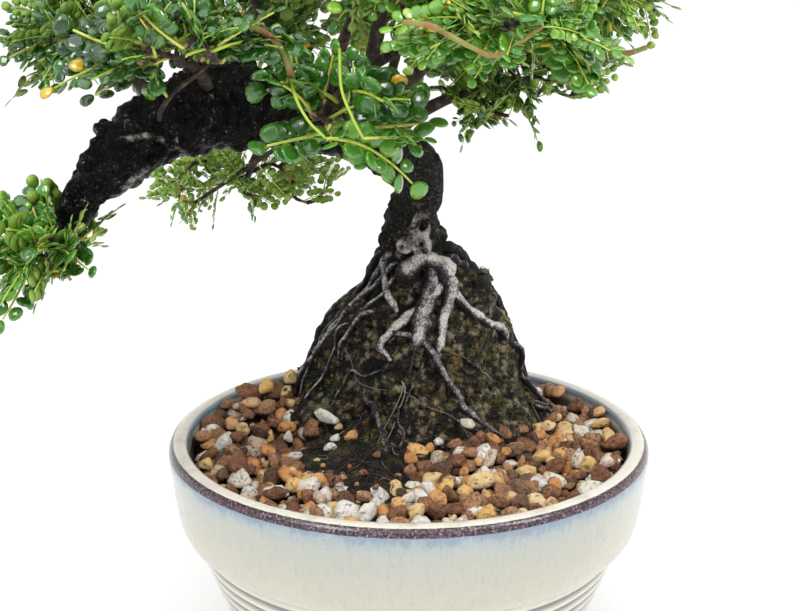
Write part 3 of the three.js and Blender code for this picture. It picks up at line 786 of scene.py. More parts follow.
def leaf_look():
    """Glossy upper faces, from old dark green to young yellow-green, with painted shade inside the pads,
    painted light on their tops and pale rims partly painted highlight, and a few turned yellow.
    """
    look = Look("leaf_top", roughness=0.2, coat=0.9, specular=0.5, subsurface=0.12)
    body = look.ramp(look.attribute("tone"), [
        (0.0, (20, 56, 16)), (0.25, (36, 90, 24)), (0.5, (66, 132, 32)), (0.72, (114, 170, 48)),
        (0.86, (158, 198, 74)), (0.93, (190, 212, 104)), (0.965, (216, 178, 40)),
    ])
    body = look.mix(look.mask(look.noise(2.2), 0.5, 0.75, 0.35), body, (118, 156, 52))
    return look.finish(body, look.noise(1.2, 2), 0.05)


def leaf_under_look():
    """Duller, paler undersides with the light coming through."""
    look = Look("leaf_under", roughness=0.45, specular=0.4, subsurface=0.12)
    body = look.ramp(look.attribute("tone"), [
        (0.0, (84, 122, 38)), (0.5, (124, 162, 58)), (0.93, (176, 198, 98)), (0.965, (218, 188, 70)),
    ])
    return look.finish(look.mix(look.mask(look.noise(1.6), 0.5, 0.7, 0.4), body, (168, 186, 116)))


def screen_look():
    look = Look("screen_plastic", roughness=0.6, specular=0.4)
    body = look.ramp(look.noise(3), [(0.3, (22, 22, 20)), (0.7, (40, 40, 37))])
    return look.finish(body, look.noise(0.6), 0.1)


def floor_look():
    look = Look("pale_floor", roughness=0.9, specular=0.1)
    return look.finish(look.ramp(look.noise(400), [(0.3, (252, 252, 252)), (0.7, (255, 255, 255))]))


# The pot

def pot_profile():
    """The closed outline in radius and height, and for each point how deep in a groove and whether inside."""
    drain, foot, foot_inner = POT["drain"], POT["foot"], POT["foot_inner"]
    under = [
        [drain, 9], [drain, 5.2], [20, 5], [foot_inner - 0.6, 5], [foot_inner, 0.7], [foot_inner + 0.7, 0],
        [foot - 0.4, 0], [foot + 0.7, 0.6], [foot + 1, 1.6], [foot + 1, 5], [51.6, 6.2],
    ]
    bowl = spline([[54, 7.5], [63, 20], [69, 32], [73.6, 44], [76.2, 52]], 74)
    phase = (50 - bowl[:, 1]) / RIBS["pitch"] + 0.5
    ribs = (0.5 - 0.5 * np.cos(TURN * phase)) ** 1.6
    ribs = ribs * smoothstep(7, 10, bowl[:, 1]) * smoothstep(52, 50.6, bowl[:, 1])
    bowl[:, 0] -= RIBS["depth"] * ribs
    shoulder = spline([[77, 53.8], [80, 56.2], [82.3, 60.5], [83.7, 68.5], [84.7, 78], [85.3, 83.5]], 26)
    lip = spline([
        [85.2, 85], [84.7, 86.3], [84, 87.2], [82.9, 87.8], [81.6, 88], [80.3, 87.9], [79.2, 87.4],
        [78.5, 86.6], [78.2, 85.4],
    ], 22)
    inside = [
        [78.1, 84.3], [78, 82], [77.4, 72], [76.2, 62], [72, 53], [67, 44], [62, 33], [57, 22], [52, 15.5],
        [47, 11.5], [38, 9],
    ]
    profile = np.vstack([under, bowl, shoulder, lip, inside])
    groove = np.zeros(len(profile))
    groove[len(under):len(under) + len(bowl)] = ribs
    return profile, groove, np.arange(len(profile)) >= len(profile) - len(inside)


def make_pot():
    profile, groove, lined = pot_profile()
    points = round_rings(*profile.T, POT["sides"]).reshape(-1, 3)
    faces = wall_faces(len(profile), POT["sides"], closed=True)
    angle = np.arctan2(points[:, 1], points[:, 0])
    radius = np.hypot(points[:, 0], points[:, 1])
    height = points[:, 2].copy()
    for i in range(NOTCHES["count"]):
        away = (angle - (i + 0.25) * TURN / NOTCHES["count"] + math.pi) % TURN - math.pi
        near = smoothstep(NOTCHES["half_width"] + 0.8, NOTCHES["half_width"] - 0.8, np.abs(away) * radius)
        ring = (radius > POT["foot_inner"] - 1) & (radius < POT["foot"] + 2)
        points[:, 2] = np.where(ring, np.maximum(points[:, 2], NOTCHES["height"] * near), points[:, 2])
    wobble = 0.12 * noise(points * [1, 1, 0.4], 26, 3)
    on_side = smoothstep(8, 14, height) * (height < 80) * (radius > 50)
    points[:, :2] *= (1 + on_side * wobble / radius)[:, None]
    obj = mesh_object("glazed_pot", points, faces)
    groove, lined = np.repeat(groove, POT["sides"]), np.repeat(lined, POT["sides"])
    outer = radius > 82
    line = smoothstep(84.7, 85.5, height) * smoothstep(87.8, 87.3, height)
    masks = {
        "groove": groove,
        "cream": np.maximum(smoothstep(87.2, 87.7, height), lined),
        "iron": line * outer + 0.45 * bell((height - 86.0) / 0.7) * ~outer,
        "bare": height < 1.2,
        # Painted shade on the inside wall below the lip.
        "inner_wall_shade": smoothstep(84.6, 83.0, height) * lined,
    }
    for name, values in masks.items():
        paint(obj, name, values)
    dress(obj, [glaze_look()], "pot")


# The root cone

def column(rows, z, k):
    return np.interp(z, rows[:, 0], rows[:, k])


def cone_radius(angle, z):
    lump = 1 + 0.05 * np.sin(3 * angle + z / 9) + 0.035 * np.sin(7 * angle - z / 5)
    skirt = 1 + 0.12 * np.maximum(0, np.cos(angle + 1.95)) * np.clip((100 - z) / 20, 0, None)
    return column(CONE, z, 1) * lump * skirt


def cone_point(angle, z, lift=0.0):
    angle, z = np.broadcast_arrays(np.asarray(angle, dtype=float), np.asarray(z, dtype=float))
    r = cone_radius(angle, z) + lift
    x = column(CONE, z, 2) + r * np.cos(angle)
    return np.stack([x, CONE_Y + CONE_DEPTH * r * np.sin(angle), z], axis=-1)


def cone_normal(angle, z):
    step = 0.02
    a = cone_point(angle + step, z) - cone_point(angle - step, z)
    b = cone_point(angle, z + 1) - cone_point(angle, z - 1)
    return unit(np.cross(a, b))


def inside_cone(x, y, z, margin=0.0):
    dx, dy = x - column(CONE, z, 2), (y - CONE_Y) / CONE_DEPTH
    return np.hypot(dx, dy) < cone_radius(np.arctan2(dy, dx), z) + margin


def cone_surface(angle, z):
    """The root cone's surface with its lumps and clods, and the way out of it."""
    point = cone_point(angle, z)
    out = cone_normal(angle, z)
    lumps = 1.3 * rough(point, 11, 2, 5) + 1.1 * noise(point, 4.2, 6)
    lumps = lumps + 1.3 * np.abs(noise(point * [1, 1, 2.0], 6, 12))
    for deg, level, height, spread in CLODS:
        away = np.linalg.norm(point - cone_point(math.radians(deg), level), axis=-1)
        lumps = lumps + height * bell(away / spread)
    return point + out * (lumps - 1.2)[..., None], out


def make_cone():
    """The cone of soil with its grains, in more detail at the front."""
    sides, rows = 276, 164
    low, high = 66, 156
    angle = turns(sides)
    angle = angle - 0.4 * np.cos(angle)
    grid_z, grid_a = np.meshgrid(np.linspace(low, high, rows), angle, indexing="ij")
    surface, out = cone_surface(grid_a, grid_z)
    warped = surface + 0.8 * noise_3d(surface, 3, 300)
    crumb = 0.62 * grains(warped, 3.4, 21) + 0.38 * grains(warped, 1.7, 22)
    surface = surface + out * (1.5 * (crumb - 0.42) + 0.3 * noise(surface, 1.2, 23))[..., None]
    # The tone is painted shade and light: it sinks in the gaps between the grains as painted shade over the
    # soil's own dark, and the last term below lifts it towards +X as painted light from the right.
    crumb = crumb + 0.5 * np.tanh(noise(surface, 2.4, 24) * 2) * (crumb - 0.1)
    crumb = 0.47 + 1.35 * (crumb - 0.45) + 0.1 * np.tanh((surface[..., 0] - 2) / 14)
    shape = Shape()
    shape.add(*filled(surface), tone=np.concatenate([np.clip(crumb, 0, 1).ravel(), [0.5, 0.5]]))
    piece("root_cone_soil", shape, [mound_look()], "root_cone")


def scatter_on_cone(rng, count, low, high):
    """Random places on the cone: surface points, the ways out and heights."""
    z = low + (high - low) * rng.random(count) ** 1.15
    point, out = cone_surface(TURN * rng.random(count), z)
    return point, out, z


def make_crumbs():
    """Loose crumbs of dark soil that make the cone's surface granular."""
    rng = np.random.default_rng(21)
    base, faces = ball(0)
    shape = Shape()
    count, low, high = 900, 82, 154
    point, out, _ = scatter_on_cone(rng, count, low, high)
    for i in range(count):
        size = 0.4 + 0.7 * rng.random() ** 2
        bumpy = base * (0.75 + 0.5 * rng.random((len(base), 1))) * size * (0.6 + 0.7 * rng.random(3))
        shape.add(bumpy + point[i] + out[i] * size * 0.25, faces)
    look = crumb_look("crumbs", [
        (0.0, (18, 17, 17)), (0.45, (46, 42, 36)), (0.75, (78, 70, 52)), (0.92, (108, 92, 58)),
        (0.99, (150, 124, 84)),
    ])
    piece("root_cone_crumbs", shape, [look], "root_cone")


def make_moss():
    """Tufts of moss in patches, each a cluster of tiny leafy spikes."""
    rng = np.random.default_rng(22)
    shape = Shape()
    spike = np.array([[1, 0, 0], [-0.5, 0.87, 0], [-0.5, -0.87, 0], [0, 0, 4.5]])
    spike_faces = np.array([[0, 2, 1], [0, 1, 3], [1, 2, 3], [2, 0, 3]])
    tries, tufts, spikes, low, high = 9000, 2600, 3, 84, 142
    point, out, z = scatter_on_cone(rng, tries, low, high)
    chosen = np.flatnonzero(rough(point, 9, 3, 41) > 0.38 + 0.25 * smoothstep(100, 140, z))[:tufts]
    for i in np.repeat(chosen, spikes):
        lean = unit(out[i] + 0.7 * rng.normal(size=3) + 0.3 * UP)
        side = unit(np.cross(lean, [0.3, 0.5, 0.81]))
        size = 0.16 + 0.12 * rng.random()
        basis = np.stack([side, np.cross(lean, side), lean])
        foot = point[i] - 0.2 * out[i] + 0.35 * rng.normal(size=3)
        shape.add((spike * size) @ basis + foot, spike_faces)
    look = crumb_look("moss", [
        (0.0, (34, 44, 16)), (0.4, (62, 78, 24)), (0.75, (96, 112, 36)), (1.0, (150, 158, 70)),
    ])
    piece("root_cone_moss", shape, [look], "root_cone")


def add_hair(shape, places, thick, tone):
    path = spline(np.array(places), 9)
    shape.add(*tube(path, np.linspace(thick, thick * 0.4, len(path)), 4), tone=tone)


def hair_on_cone(rng, in_front):
    """Places along a hair root that wanders down the cone."""
    angle = -math.pi * rng.random() * 1.25 + 0.4 if in_front else TURN * rng.random()
    z = 86 + 60 * rng.random() ** 1.5
    steps = 7
    stride = (5 + 11 * rng.random()) / steps
    drift = rng.normal(size=2) * [0.5, 0.3] + [0, -0.8]
    places = []
    for _ in range(steps):
        drift = drift + rng.normal(size=2) * 0.45
        angle += drift[0] * stride / cone_radius(angle, z)
        z = max(80.5, z + drift[1] * stride)
        surface, out = cone_surface(np.array(angle), np.array(z))
        places.append(surface + out * (0.1 + 0.9 * rng.random()))
    return places


def hair_on_spill(rng):
    """Places along a hair root that wanders over the spilled fines."""
    turn = TURN * rng.random()
    out = math.sqrt(rng.random())
    spot = np.array([SPILL["half_x"] * out * math.cos(turn), SPILL["half_y"] * out * math.sin(turn)])
    spot = spot + [SPILL["x"], SPILL["y"]]
    heading = unit(rng.normal(size=2) + [0, -0.5])
    places = []
    for _ in range(6):
        places.append([*spot, float(spill_surface(*spot)) + 0.2 + 1.3 * rng.random()])
        heading = unit(heading + 0.6 * rng.normal(size=2))
        spot = spot + heading * (1.2 + 1.6 * rng.random())
    return places


def make_hairs():
    rng = np.random.default_rng(23)
    shape = Shape()
    count_on_cone, count_on_spill = 190, 100
    for i in range(count_on_cone):
        places = hair_on_cone(rng, i % 3 > 0)
        add_hair(shape, places, 0.12 + 0.2 * rng.random() ** 2, rng.random())
    for _ in range(count_on_spill):
        places = hair_on_spill(rng)
        add_hair(shape, places, 0.14 + 0.3 * rng.random() ** 2, rng.random())
    piece("hair_roots", shape, [hair_look()], "root_cone")


# The soil

def soil_height(x, y):
    """The top of the stones: higher towards the cone and the left, with a heap and a collar beside it."""
    near = np.clip(1 - np.hypot(x - CONE[1, 2], y - CONE_Y) / SOIL["spread"], 0, 1)
    heap = HEAP["height"] * np.exp(-((x - HEAP["x"]) ** 2 + (y - HEAP["y"]) ** 2) / (2 * HEAP["spread"] ** 2))
    gap = np.hypot(x - CONE[1, 2], (y - CONE_Y) / CONE_DEPTH) - CONE[1, 1]
    collar = SOIL["collar"] * bell(np.maximum(gap, 0) / SOIL["collar_width"])
    return SOIL["level"] + SOIL["rise"] * near + heap + collar + SOIL["tilt"] * x


def spill_share(x, y):
    """1 in the middle of the spilled fines, 0 at their ragged edge."""
    place = np.stack(np.broadcast_arrays(x, y, 0.0), -1)
    edge = 1 + 0.28 * rough(place, 9, 2, 91)
    return 1 - np.hypot((x - SPILL["x"]) / SPILL["half_x"], (y - SPILL["y"]) / SPILL["half_y"]) / edge


def spill_surface(x, y):
    x, y = np.broadcast_arrays(np.asarray(x, dtype=float), np.asarray(y, dtype=float))
    share = spill_share(x, y)
    place = np.stack([x, y, np.zeros_like(x)], -1)
    relief = 1.2 * rough(place, 6, 3, 93) + 0.5 * noise(place, 1.5, 94)
    top = SPILL["height"] * smoothstep(0, 0.5, share) + relief * smoothstep(-0.1, 0.3, share)
    return soil_height(x, y) - 1.5 + top


def make_spill():
    """Wet black fines that have slid from the cone over the stones."""
    rings, sides = 38, 104
    share = np.linspace(1.25, 0.0, rings, endpoint=False)
    grid_s, grid_a = np.meshgrid(share, turns(sides), indexing="ij")
    x = SPILL["x"] + SPILL["half_x"] * grid_s * np.cos(grid_a)
    y = SPILL["y"] + SPILL["half_y"] * grid_s * np.sin(grid_a)
    top = np.stack([x, y, spill_surface(x, y)], -1)
    under = top[:1] * [1, 1, 0] + [0, 0, SOIL["level"] - SOIL["depth"]]
    shape = Shape()
    shape.add(*filled(np.vstack([under, top])), tone=0.28)
    piece("spilled_fines", shape, [mound_look()], "root_cone")


def stone_points(base, rng, size, angular, lumpy):
    """One crushed stone: a block of broken faces with worn edges, and lumps if it is a soft kind."""
    planes = unit(rng.normal(size=(10, 3)))
    reach = 0.55 + 0.4 * rng.random(10)
    facing = np.maximum(base @ planes.T, 0.01) / reach
    edge = 18
    blocky = 1 / np.sum(facing**edge, axis=1) ** (1 / edge)
    radius = angular * np.minimum(blocky, 1.2) + (1 - angular) * 0.85
    radius = radius * (1 + lumpy * rough(base * 10 + rng.random(3) * 90, 7, 3, 7))
    stretch = np.array([1.15, 0.88, 0.72]) * (0.88 + 0.24 * rng.random(3))
    turn = unit(rng.normal(size=3) * [0.6, 0.6, 1])
    side = unit(np.cross(turn, rng.normal(size=3)))
    basis = np.stack([side, np.cross(turn, side), turn])
    return (base * radius[:, None] * stretch * size) @ basis


def settle_stones(rng):
    """Lays the shown stones and drops others where it is lowest. Gives their kinds, middles and sizes."""
    reach = POT["inner"] - SOIL["gap"]
    axis = np.arange(-reach, reach + 1, 1.0)
    gx, gy = np.meshgrid(axis, axis, indexing="ij")
    surface = np.full(gx.shape, SOIL["level"] - SOIL["depth"])
    wanted = soil_height(gx, gy)
    stones = []

    def lay(kind, x, y, z, size):
        nonlocal surface
        away = np.hypot(gx - x, gy - y)
        cap = z + 0.72 * np.sqrt(np.clip(size**2 - away**2, 0, None))
        surface = np.where(away < size * 0.95, np.maximum(surface, cap), surface)
        stones.append((kind, x, y, z, size))

    for kind, x, y, size in SHOWN_STONES:
        lay(kind, x, y, float(soil_height(x, y)) + 0.9 - 0.45 * size, size)
    kinds = list(STONE_KINDS)
    shares = np.array([STONE_KINDS[k][0] for k in kinds])
    full = (np.hypot(gx, gy) > reach) | inside_cone(gx, gy, CONE_FOOT, -3.0) | (spill_share(gx, gy) > 0.1)
    most, least_lack = 1200, 1.4
    for _ in range(most):
        lack = np.where(full, -9, wanted - surface + 0.8 * rng.random(gx.shape))
        best = np.unravel_index(np.argmax(lack), lack.shape)
        if lack[best] < least_lack:
            break
        size = 1.8 + 2.6 * rng.random() ** 1.7
        x, y = gx[best] + rng.random() - 0.5, gy[best] + rng.random() - 0.5
        r = math.hypot(x, y)
        far = reach - 0.75 * size
        if r > far:
            x, y = x * far / r, y * far / r
        under = np.hypot(gx - x, gy - y) < size * 0.7
        z = float(np.mean(surface[under])) + 0.5 * size
        lay(rng.choice(kinds, p=shares / shares.sum()), x, y, z, size)
    return stones


def make_stones():
    rng = np.random.default_rng(31)
    fine, coarse = ball(2), ball(1)
    seen_depth, least_fine, share = 2.2, 2.9, 0.94
    shapes = {kind: Shape() for kind in STONE_KINDS}
    for kind, x, y, z, size in settle_stones(rng) + RAISED_STONES:
        seen = z > soil_height(x, y) - seen_depth
        base, faces = fine if seen and size > least_fine else coarse
        points = stone_points(base, rng, share * size, *STONE_KINDS[kind][1:3])
        # The tone is low on the underside of each stone, where the stone look paints shade.
        shapes[kind].add(points + [x, y, z], faces, tone=smoothstep(-0.66, 0.2, points[:, 2] / size))
    for kind, shape in shapes.items():
        look = stone_look(kind + "_stone", *STONE_KINDS[kind][3:])
        piece("soil_" + kind + "_stones", shape, [look], "soil_bed")


def make_fines():
    """The dark fines between the stones, down to the bottom of the pot."""
    rings, sides = 30, 90
    radius = (POT["inner"] - SOIL["gap"]) * np.linspace(1, 0, rings, endpoint=False)
    top = round_rings(radius, np.zeros(rings), sides)
    top[..., 2] = soil_height(top[..., 0], top[..., 1]) - 3.6
    top[..., 2] += 0.8 * rough(top, 3.0, 3, 61)
    under = round_rings([37.7, 46.7, 56.7, 66.6, 76], [9.4, 11.7, 22.2, 44.1, 64], sides)
    shape = Shape()
    shape.add(*filled(np.vstack([under, top])))
    piece("soil_fines", shape, [fines_look()], "soil_bed")


# The wood

TRUNK_LINE = spline(TRUNK, 240)


def trunk_body():
    """The trunk with its knobs and the burl, joined into one closed surface."""
    path, radius = TRUNK_LINE[:, :3], TRUNK_LINE[:, 3]

    def swell(ring):
        flutes = 0.06 * np.sin(3 * turns(ring.shape[1]) + 0.04 * ring[..., 2])
        return radius[:, None] * (flutes + 0.07 * noise(ring, 13, 71)) + 0.6 * noise(ring, 5, 72)

    sides, voxel = 56, 0.8
    shape = Shape()
    shape.add(*tube(path, radius, sides, swell))
    _, side, other = frames_along(path)
    base, faces = ball(2)
    for share, turn, size in KNOBS:
        k = int(share * (len(path) - 1))
        at = path[k] + (side[k] * math.cos(turn) + other[k] * math.sin(turn)) * radius[k] * 0.85
        shape.add(base * size * [1.3, 1, 0.9] + at, faces)
    for at, size in BURL:
        shape.add(base * size + at, faces)
    return remeshed(shape, voxel)


def scarred(points, out):
    """Raises the rings of old cuts and sinks their middles. Gives the points, how pale and how hollow."""
    pale, hollow = 0.0, 0.0
    for at, size in SCARS:
        away = np.hypot(points[:, 0] - at[0], 0.85 * (points[:, 2] - at[2]))
        away = away * (1 + 0.4 * noise(points, 3.2, 84))
        away = away + 9 * (points[:, 1] > at[1] + 5)
        ring = bell((away - size) / 0.8) * (0.75 + 0.5 * noise(points, 2.5, 85))
        hole = bell(away / (0.5 * size))
        points = points + out * (1.6 * ring - 1.8 * hole)[:, None]
        patch = bell(away / (2.7 * size)) * (0.4 + 0.6 * noise(points, 3.4, 86))
        pale = np.maximum(pale, patch + 0.55 * ring)
        # hollow later paints the sunken middles black, as painted shade.
        hollow = np.maximum(hollow, hole)
    return points, pale, hollow


def ridged(points, out, pale):
    """Raises the pale ridges on the front of the bent trunk and paints them pale, partly as painted glints
    along them.
    """
    for route in RIDGES:
        line = spline(route, 50)
        away = np.min(np.hypot(points[:, None, 0] - line[:, 0], points[:, None, 2] - line[:, 2]), axis=1)
        ridge = bell(away / 1.1) * smoothstep(0.1, -0.3, out[:, 1])
        points = points + out * (1.2 * ridge)[:, None]
        pale = np.maximum(pale, ridge * (0.33 + 0.5 * noise(points, 2.2, 88)))
    return points, pale


def make_trunk():
    points, faces = trunk_body()
    out = normals(points, faces)
    old = smoothstep(152, 164, points[:, 2]) * smoothstep(2, -12, points[:, 0])
    low = smoothstep(168, 156, points[:, 2])
    warped = points + 1.5 * noise_3d(points, 6, 310)
    cracked = 0.6 * grains(warped, 6.5, 76) + 0.4 * grains(warped, 2.8, 77)
    relief = 0.25 * rough(points, 2.4, 2, 75)
    waves = 1.4 * noise(points, 9, 81) + 3.4 * (cracked - 0.4) + 0.5 * noise(points, 1.6, 78)
    relief = relief + old * waves
    relief = relief + low * (0.7 * rough(points, 4.2, 3, 79) + 0.7 * (grains(points, 2.6, 80) - 0.4))
    pits = smoothstep(0.35, 0.7, noise(points, 2.0, 78)) * (1 - old)
    points = points + out * (relief - 0.45 * pits)[:, None]
    points, pale, hollow = scarred(points, out)
    points, pale = ridged(points, out, pale)
    obj = mesh_object("trunk", points, faces)
    # ridge carries the painted shade in the cracks and the painted glints on the crests; hollow carries the
    # painted shade in the scars' sunken middles.
    for name, values in {"pale": np.clip(pale, 0, 1), "hollow": hollow, "old": old, "ridge": cracked}.items():
        paint(obj, name, values)
    dress(obj, [trunk_look()], "trunk_and_roots")


def root_path(route):
    """From inside the cone out to its surface, along it, and back under it at the end."""
    lifts = []
    for deg, z in route:
        arch = max(0.0, math.cos(math.radians(deg + 84))) ** 2
        lifts.append(0.6 + 3.2 * arch * smoothstep(137, 144, z))
    lifts[-1] = -1.6
    places = [cone_point(math.radians(deg), z, lift) for (deg, z), lift in zip(route, lifts)]
    foot = np.array([*ROOT_CROWN, max(places[0][2] - 3, ROOT_CROWN_LOW)])
    return np.vstack([foot, places])


def add_root(shape, route, ends, pale, sides, seed):
    """One root as a knotty tube, with painted light on the side facing up, out and to the right and painted
    shade on the side away from it.
    """
    places = spline(root_path(route), 30)
    length = np.sum(np.linalg.norm(np.diff(places, axis=0), axis=1))
    path = spline(places, int(length / 0.95))
    path = path + 0.8 * noise_3d(path, 6, seed)
    share = np.linspace(0, 1, len(path))
    radius = ends[0] + (ends[1] - ends[0]) * share
    radius = radius * (1 + 0.26 * noise(path, 4.5, seed + 5)) * np.minimum(1, 0.5 + 6 * (1 - share))

    def swell(ring):
        grain = noise(ring * [1, 1, 0.5], 1.1, seed + 8)
        return radius[:, None] * (0.28 * rough(ring, 3.2, 3, seed + 9) + 0.09 * grain)

    points, faces = tube(path, radius, sides, swell)
    middle = np.concatenate([np.repeat(path, sides, axis=0), path[:1], path[-1:]])
    outward = unit(middle - [CONE[0, 2], CONE_Y, 0] - UP * (middle[:, 2:] - 8))
    # Painted light and shade: the tone is high on the side of each root that faces this way and low on the
    # side away from it.
    toward_light = unit(outward + 0.5 * UP + [0.35, 0, 0])
    facing = np.sum(unit(points - middle) * toward_light, 1)
    shape.add(points, faces, tone=0.93 * pale * (0.05 + 0.95 * smoothstep(0.1, 1.0, facing)))


def make_roots():
    shape = Shape()
    for roots, sides, seed in ((ROOTS, 16, 200), (FINE_ROOTS, 9, 500)):
        for i, (pale, ends, route) in enumerate(roots):
            add_root(shape, route, ends, pale, sides, seed + 11 * i)
    piece("exposed_roots", shape, [root_look()], "trunk_and_roots")


# The crown

PAD_EDGE = 1.06  # how far a leaf may reach from a pad's middle, in half sizes of the pad
OFF_WOOD = 2.0  # how far it keeps off the trunk
PAST_SOLIDS = 2.0  # how far it may reach past the solids' box
LIMIT_LOW = np.array(CAD_BOX[0]) / MM - AXIS - PAST_SOLIDS
LIMIT_HIGH = np.array(CAD_BOX[1]) / MM - AXIS + PAST_SOLIDS
TOP, UNDER, STALK, TWIG = range(4)  # the materials of a pad


def leaf_length(pairs):
    """The length of a full-size leaf's stalk."""
    return LEAF_PITCH * (pairs + 1.5)


def leaflet_template(rim, ring):
    """A round leaflet one unit long, domed above and hollow below, lying along +X from its stalk."""

    def loop(count, share, height):
        angle = turns(count)
        x = 0.52 + 0.48 * share * np.cos(angle)
        y = LEAFLET["width"] * share * np.sin(angle) * (1 + 0.16 * np.cos(angle))
        crease = 0.05 * (np.abs(np.sin(angle)) < 0.1)
        return np.stack([x, y, height - crease], 1)

    middle = np.array([[0.54, 0, 0.95]])
    points = np.vstack([loop(rim, 1.0, 0.0), loop(ring, 0.66, 0.72), middle, middle])
    ratio = rim // ring
    top, hollow = rim + ring, rim + ring + 1
    faces = []
    for i in range(ring):
        j = (i + 1) % ring
        faces.append((top, rim + i, rim + j))
        faces += [(rim + i, i * ratio + k, (i * ratio + k + 1) % rim) for k in range(ratio)]
        faces.append((rim + i, (i + 1) * ratio % rim, rim + j))
    looks = [TOP] * len(faces) + [UNDER] * rim
    faces += [(hollow, (i + 1) % rim, i) for i in range(rim)]
    # Pale margins: partly the leaflet's own pale rim and partly a painted highlight along it.
    pale_rim_and_sheen = np.where(np.arange(len(points)) < rim, 0.2, 0.0)
    return points, np.array(faces), np.array(looks), hollow, pale_rim_and_sheen


class Foliage:
    """One pad of the crown: its branch, shoots, stems, stalks and leaflets."""

    def __init__(self, name, index):
        self.name, self.index = name, index
        middle, size, self.grows, self.thick, self.shoots, self.low, self.scale, self.light = PADS[name]
        self.middle, self.size = np.array(middle, dtype=float), np.array(size, dtype=float)
        self.trim = TRIMS.get(name, (0.0, 0.0))
        self.rng = np.random.default_rng(900 + index)
        near = self.middle[1] < -30
        self.template = leaflet_template(12, 6) if near else leaflet_template(8, 4)
        self.stalk_sides = 5 if near else 3
        self.leaflets = []
        self.shape = Shape()

    def branch(self):
        """The pad's branch, from the trunk to its middle."""
        start = TRUNK_LINE[int(round(self.grows * (len(TRUNK_LINE) - 1))), :3]
        end = self.middle + (start - self.middle) * 3.0 / np.linalg.norm(self.middle - start)
        share = np.array([0, 0.35, 0.7, 1])[:, None]
        rise = UP * 0.1 * np.linalg.norm(end - start) * np.sin(math.pi * share)
        path = spline(start + (end - start) * share + rise, 30)
        radius = self.thick + (1.3 - self.thick) * np.sqrt(np.linspace(0, 1, len(path)))
        self.shape.add(*tube(path, radius * (1 + 0.12 * noise(path, 5, self.index)), 9), look=TWIG, tone=0)
        return path

    def shoot_ends(self):
        """Where the shoots end, spread evenly over the pad."""
        ends = []
        reach = np.maximum(self.size - TIP_LEAF * self.scale, 0.35 * self.size)
        for i in range(self.shoots):
            up = 0.95 - (0.95 - self.low) * (i + 0.5) / self.shoots
            turn = i * GOLDEN_ANGLE + self.index
            flat = math.sqrt(max(0, 1 - up * up))
            out = np.array([flat * math.cos(turn), flat * math.sin(turn), up])
            ends.append(self.middle + out * reach * (0.6 + 0.4 * self.rng.random() ** 0.5))
        return ends

    def grow(self):
        rng = self.rng
        branch = self.branch()
        spots = list(branch[16:])
        for end in sorted(self.shoot_ends(), key=lambda p: np.linalg.norm(p - branch[-1])):
            known = np.array(spots)
            gap = np.linalg.norm(known - end, axis=1) + 0.35 * np.linalg.norm(known - branch[-1], axis=1)
            start = known[int(np.argmin(gap))]
            away = np.linalg.norm(end - start)
            path = spline([start, (start + end) / 2 + rng.normal(size=3) * 0.14 * away, end], 9)
            young = smoothstep(0.3, 1.0, np.linspace(0, 1, len(path)))
            tone = np.concatenate([np.repeat(young, 6), [0, 1]])
            self.shape.add(*tube(path, 0.85 - 0.35 * young, 6), look=TWIG, tone=tone)
            spots += list(path[2:])
            self.leaves_on(path, self.size, self.light + 0.25 + 0.3 * rng.random())
        for radius, young, route in (stem[1:] for stem in STEMS if stem[0] == self.name):
            path = spline(route, 24)
            taper = np.linspace(1.15, 0.8, len(path)) * (1 + 0.1 * noise(path, 4, self.index))
            look, tone, lighter = (STALK, 0.4, 0.25) if young == 1.0 else (TWIG, young, 0.42)
            self.shape.add(*tube(path, radius * taper, 12), look=look, tone=tone)
            self.leaves_on(path, self.size * 1.1, self.light + lighter)

    def may_grow(self, point, size):
        """Leaves keep within their pad and the crown, off the wood, and clear of the trunk's bare front."""
        outside = np.any(point < LIMIT_LOW) or np.any(point > LIMIT_HIGH)
        if outside or np.linalg.norm((point - self.middle) / size) > PAD_EDGE:
            return False
        if self.trim[0] * point[0] + point[2] < self.trim[1]:
            return False
        gap = np.linalg.norm(TRUNK_LINE[:, :3] - point, axis=1) - TRUNK_LINE[:, 3]
        if gap.min() < OFF_WOOD:
            return False
        k = int(np.argmin(np.abs(TRUNK_LINE[:, 0] - point[0]) + 100 * (TRUNK_LINE[:, 2] < 180)))
        _, y, z, _ = TRUNK_LINE[k]
        in_front = y - point[1]
        bare = BARE["left"] < point[0] < BARE["right"] and in_front > 0
        return not (bare and point[2] - BARE["rise"] * in_front < z + BARE["above"])

    def leaves_on(self, path, size, shoot_tone):
        """Leaves along a shoot, with a tuft of younger ones at its tip."""
        rng = self.rng
        length = np.linalg.norm(path[-1] - path[0])
        places = list(np.linspace(0.3, 0.93, 2 + int(length / self.scale / 9)))
        turn = 6 * rng.random()
        for share in places + [1.0] * 3:
            tip = share == 1.0
            k = min(int(share * (len(path) - 1)), len(path) - 2)
            foot = path[-1] if tip else path[k]
            t = unit(path[k + 1] - path[k])
            side = unit(np.cross(t, [0.12, 0.3, 0.94]))
            turn += GOLDEN_ANGLE
            around = side * math.cos(turn) + np.cross(t, side) * math.sin(turn)
            away = unit((foot - self.middle) / size)
            heading = unit(0.8 * around + 0.45 * away + 0.3 * t + 0.2 * UP)
            outward = unit((foot - CROWN_MIDDLE) * [1, 1, 0.2])
            normal = unit(0.7 * UP + 0.7 * outward + 0.4 * rng.normal(size=3))
            pairs = int(rng.integers(4, 7))
            scale = self.scale * (0.55 + 0.35 * rng.random() if tip else 0.8 + 0.35 * rng.random())
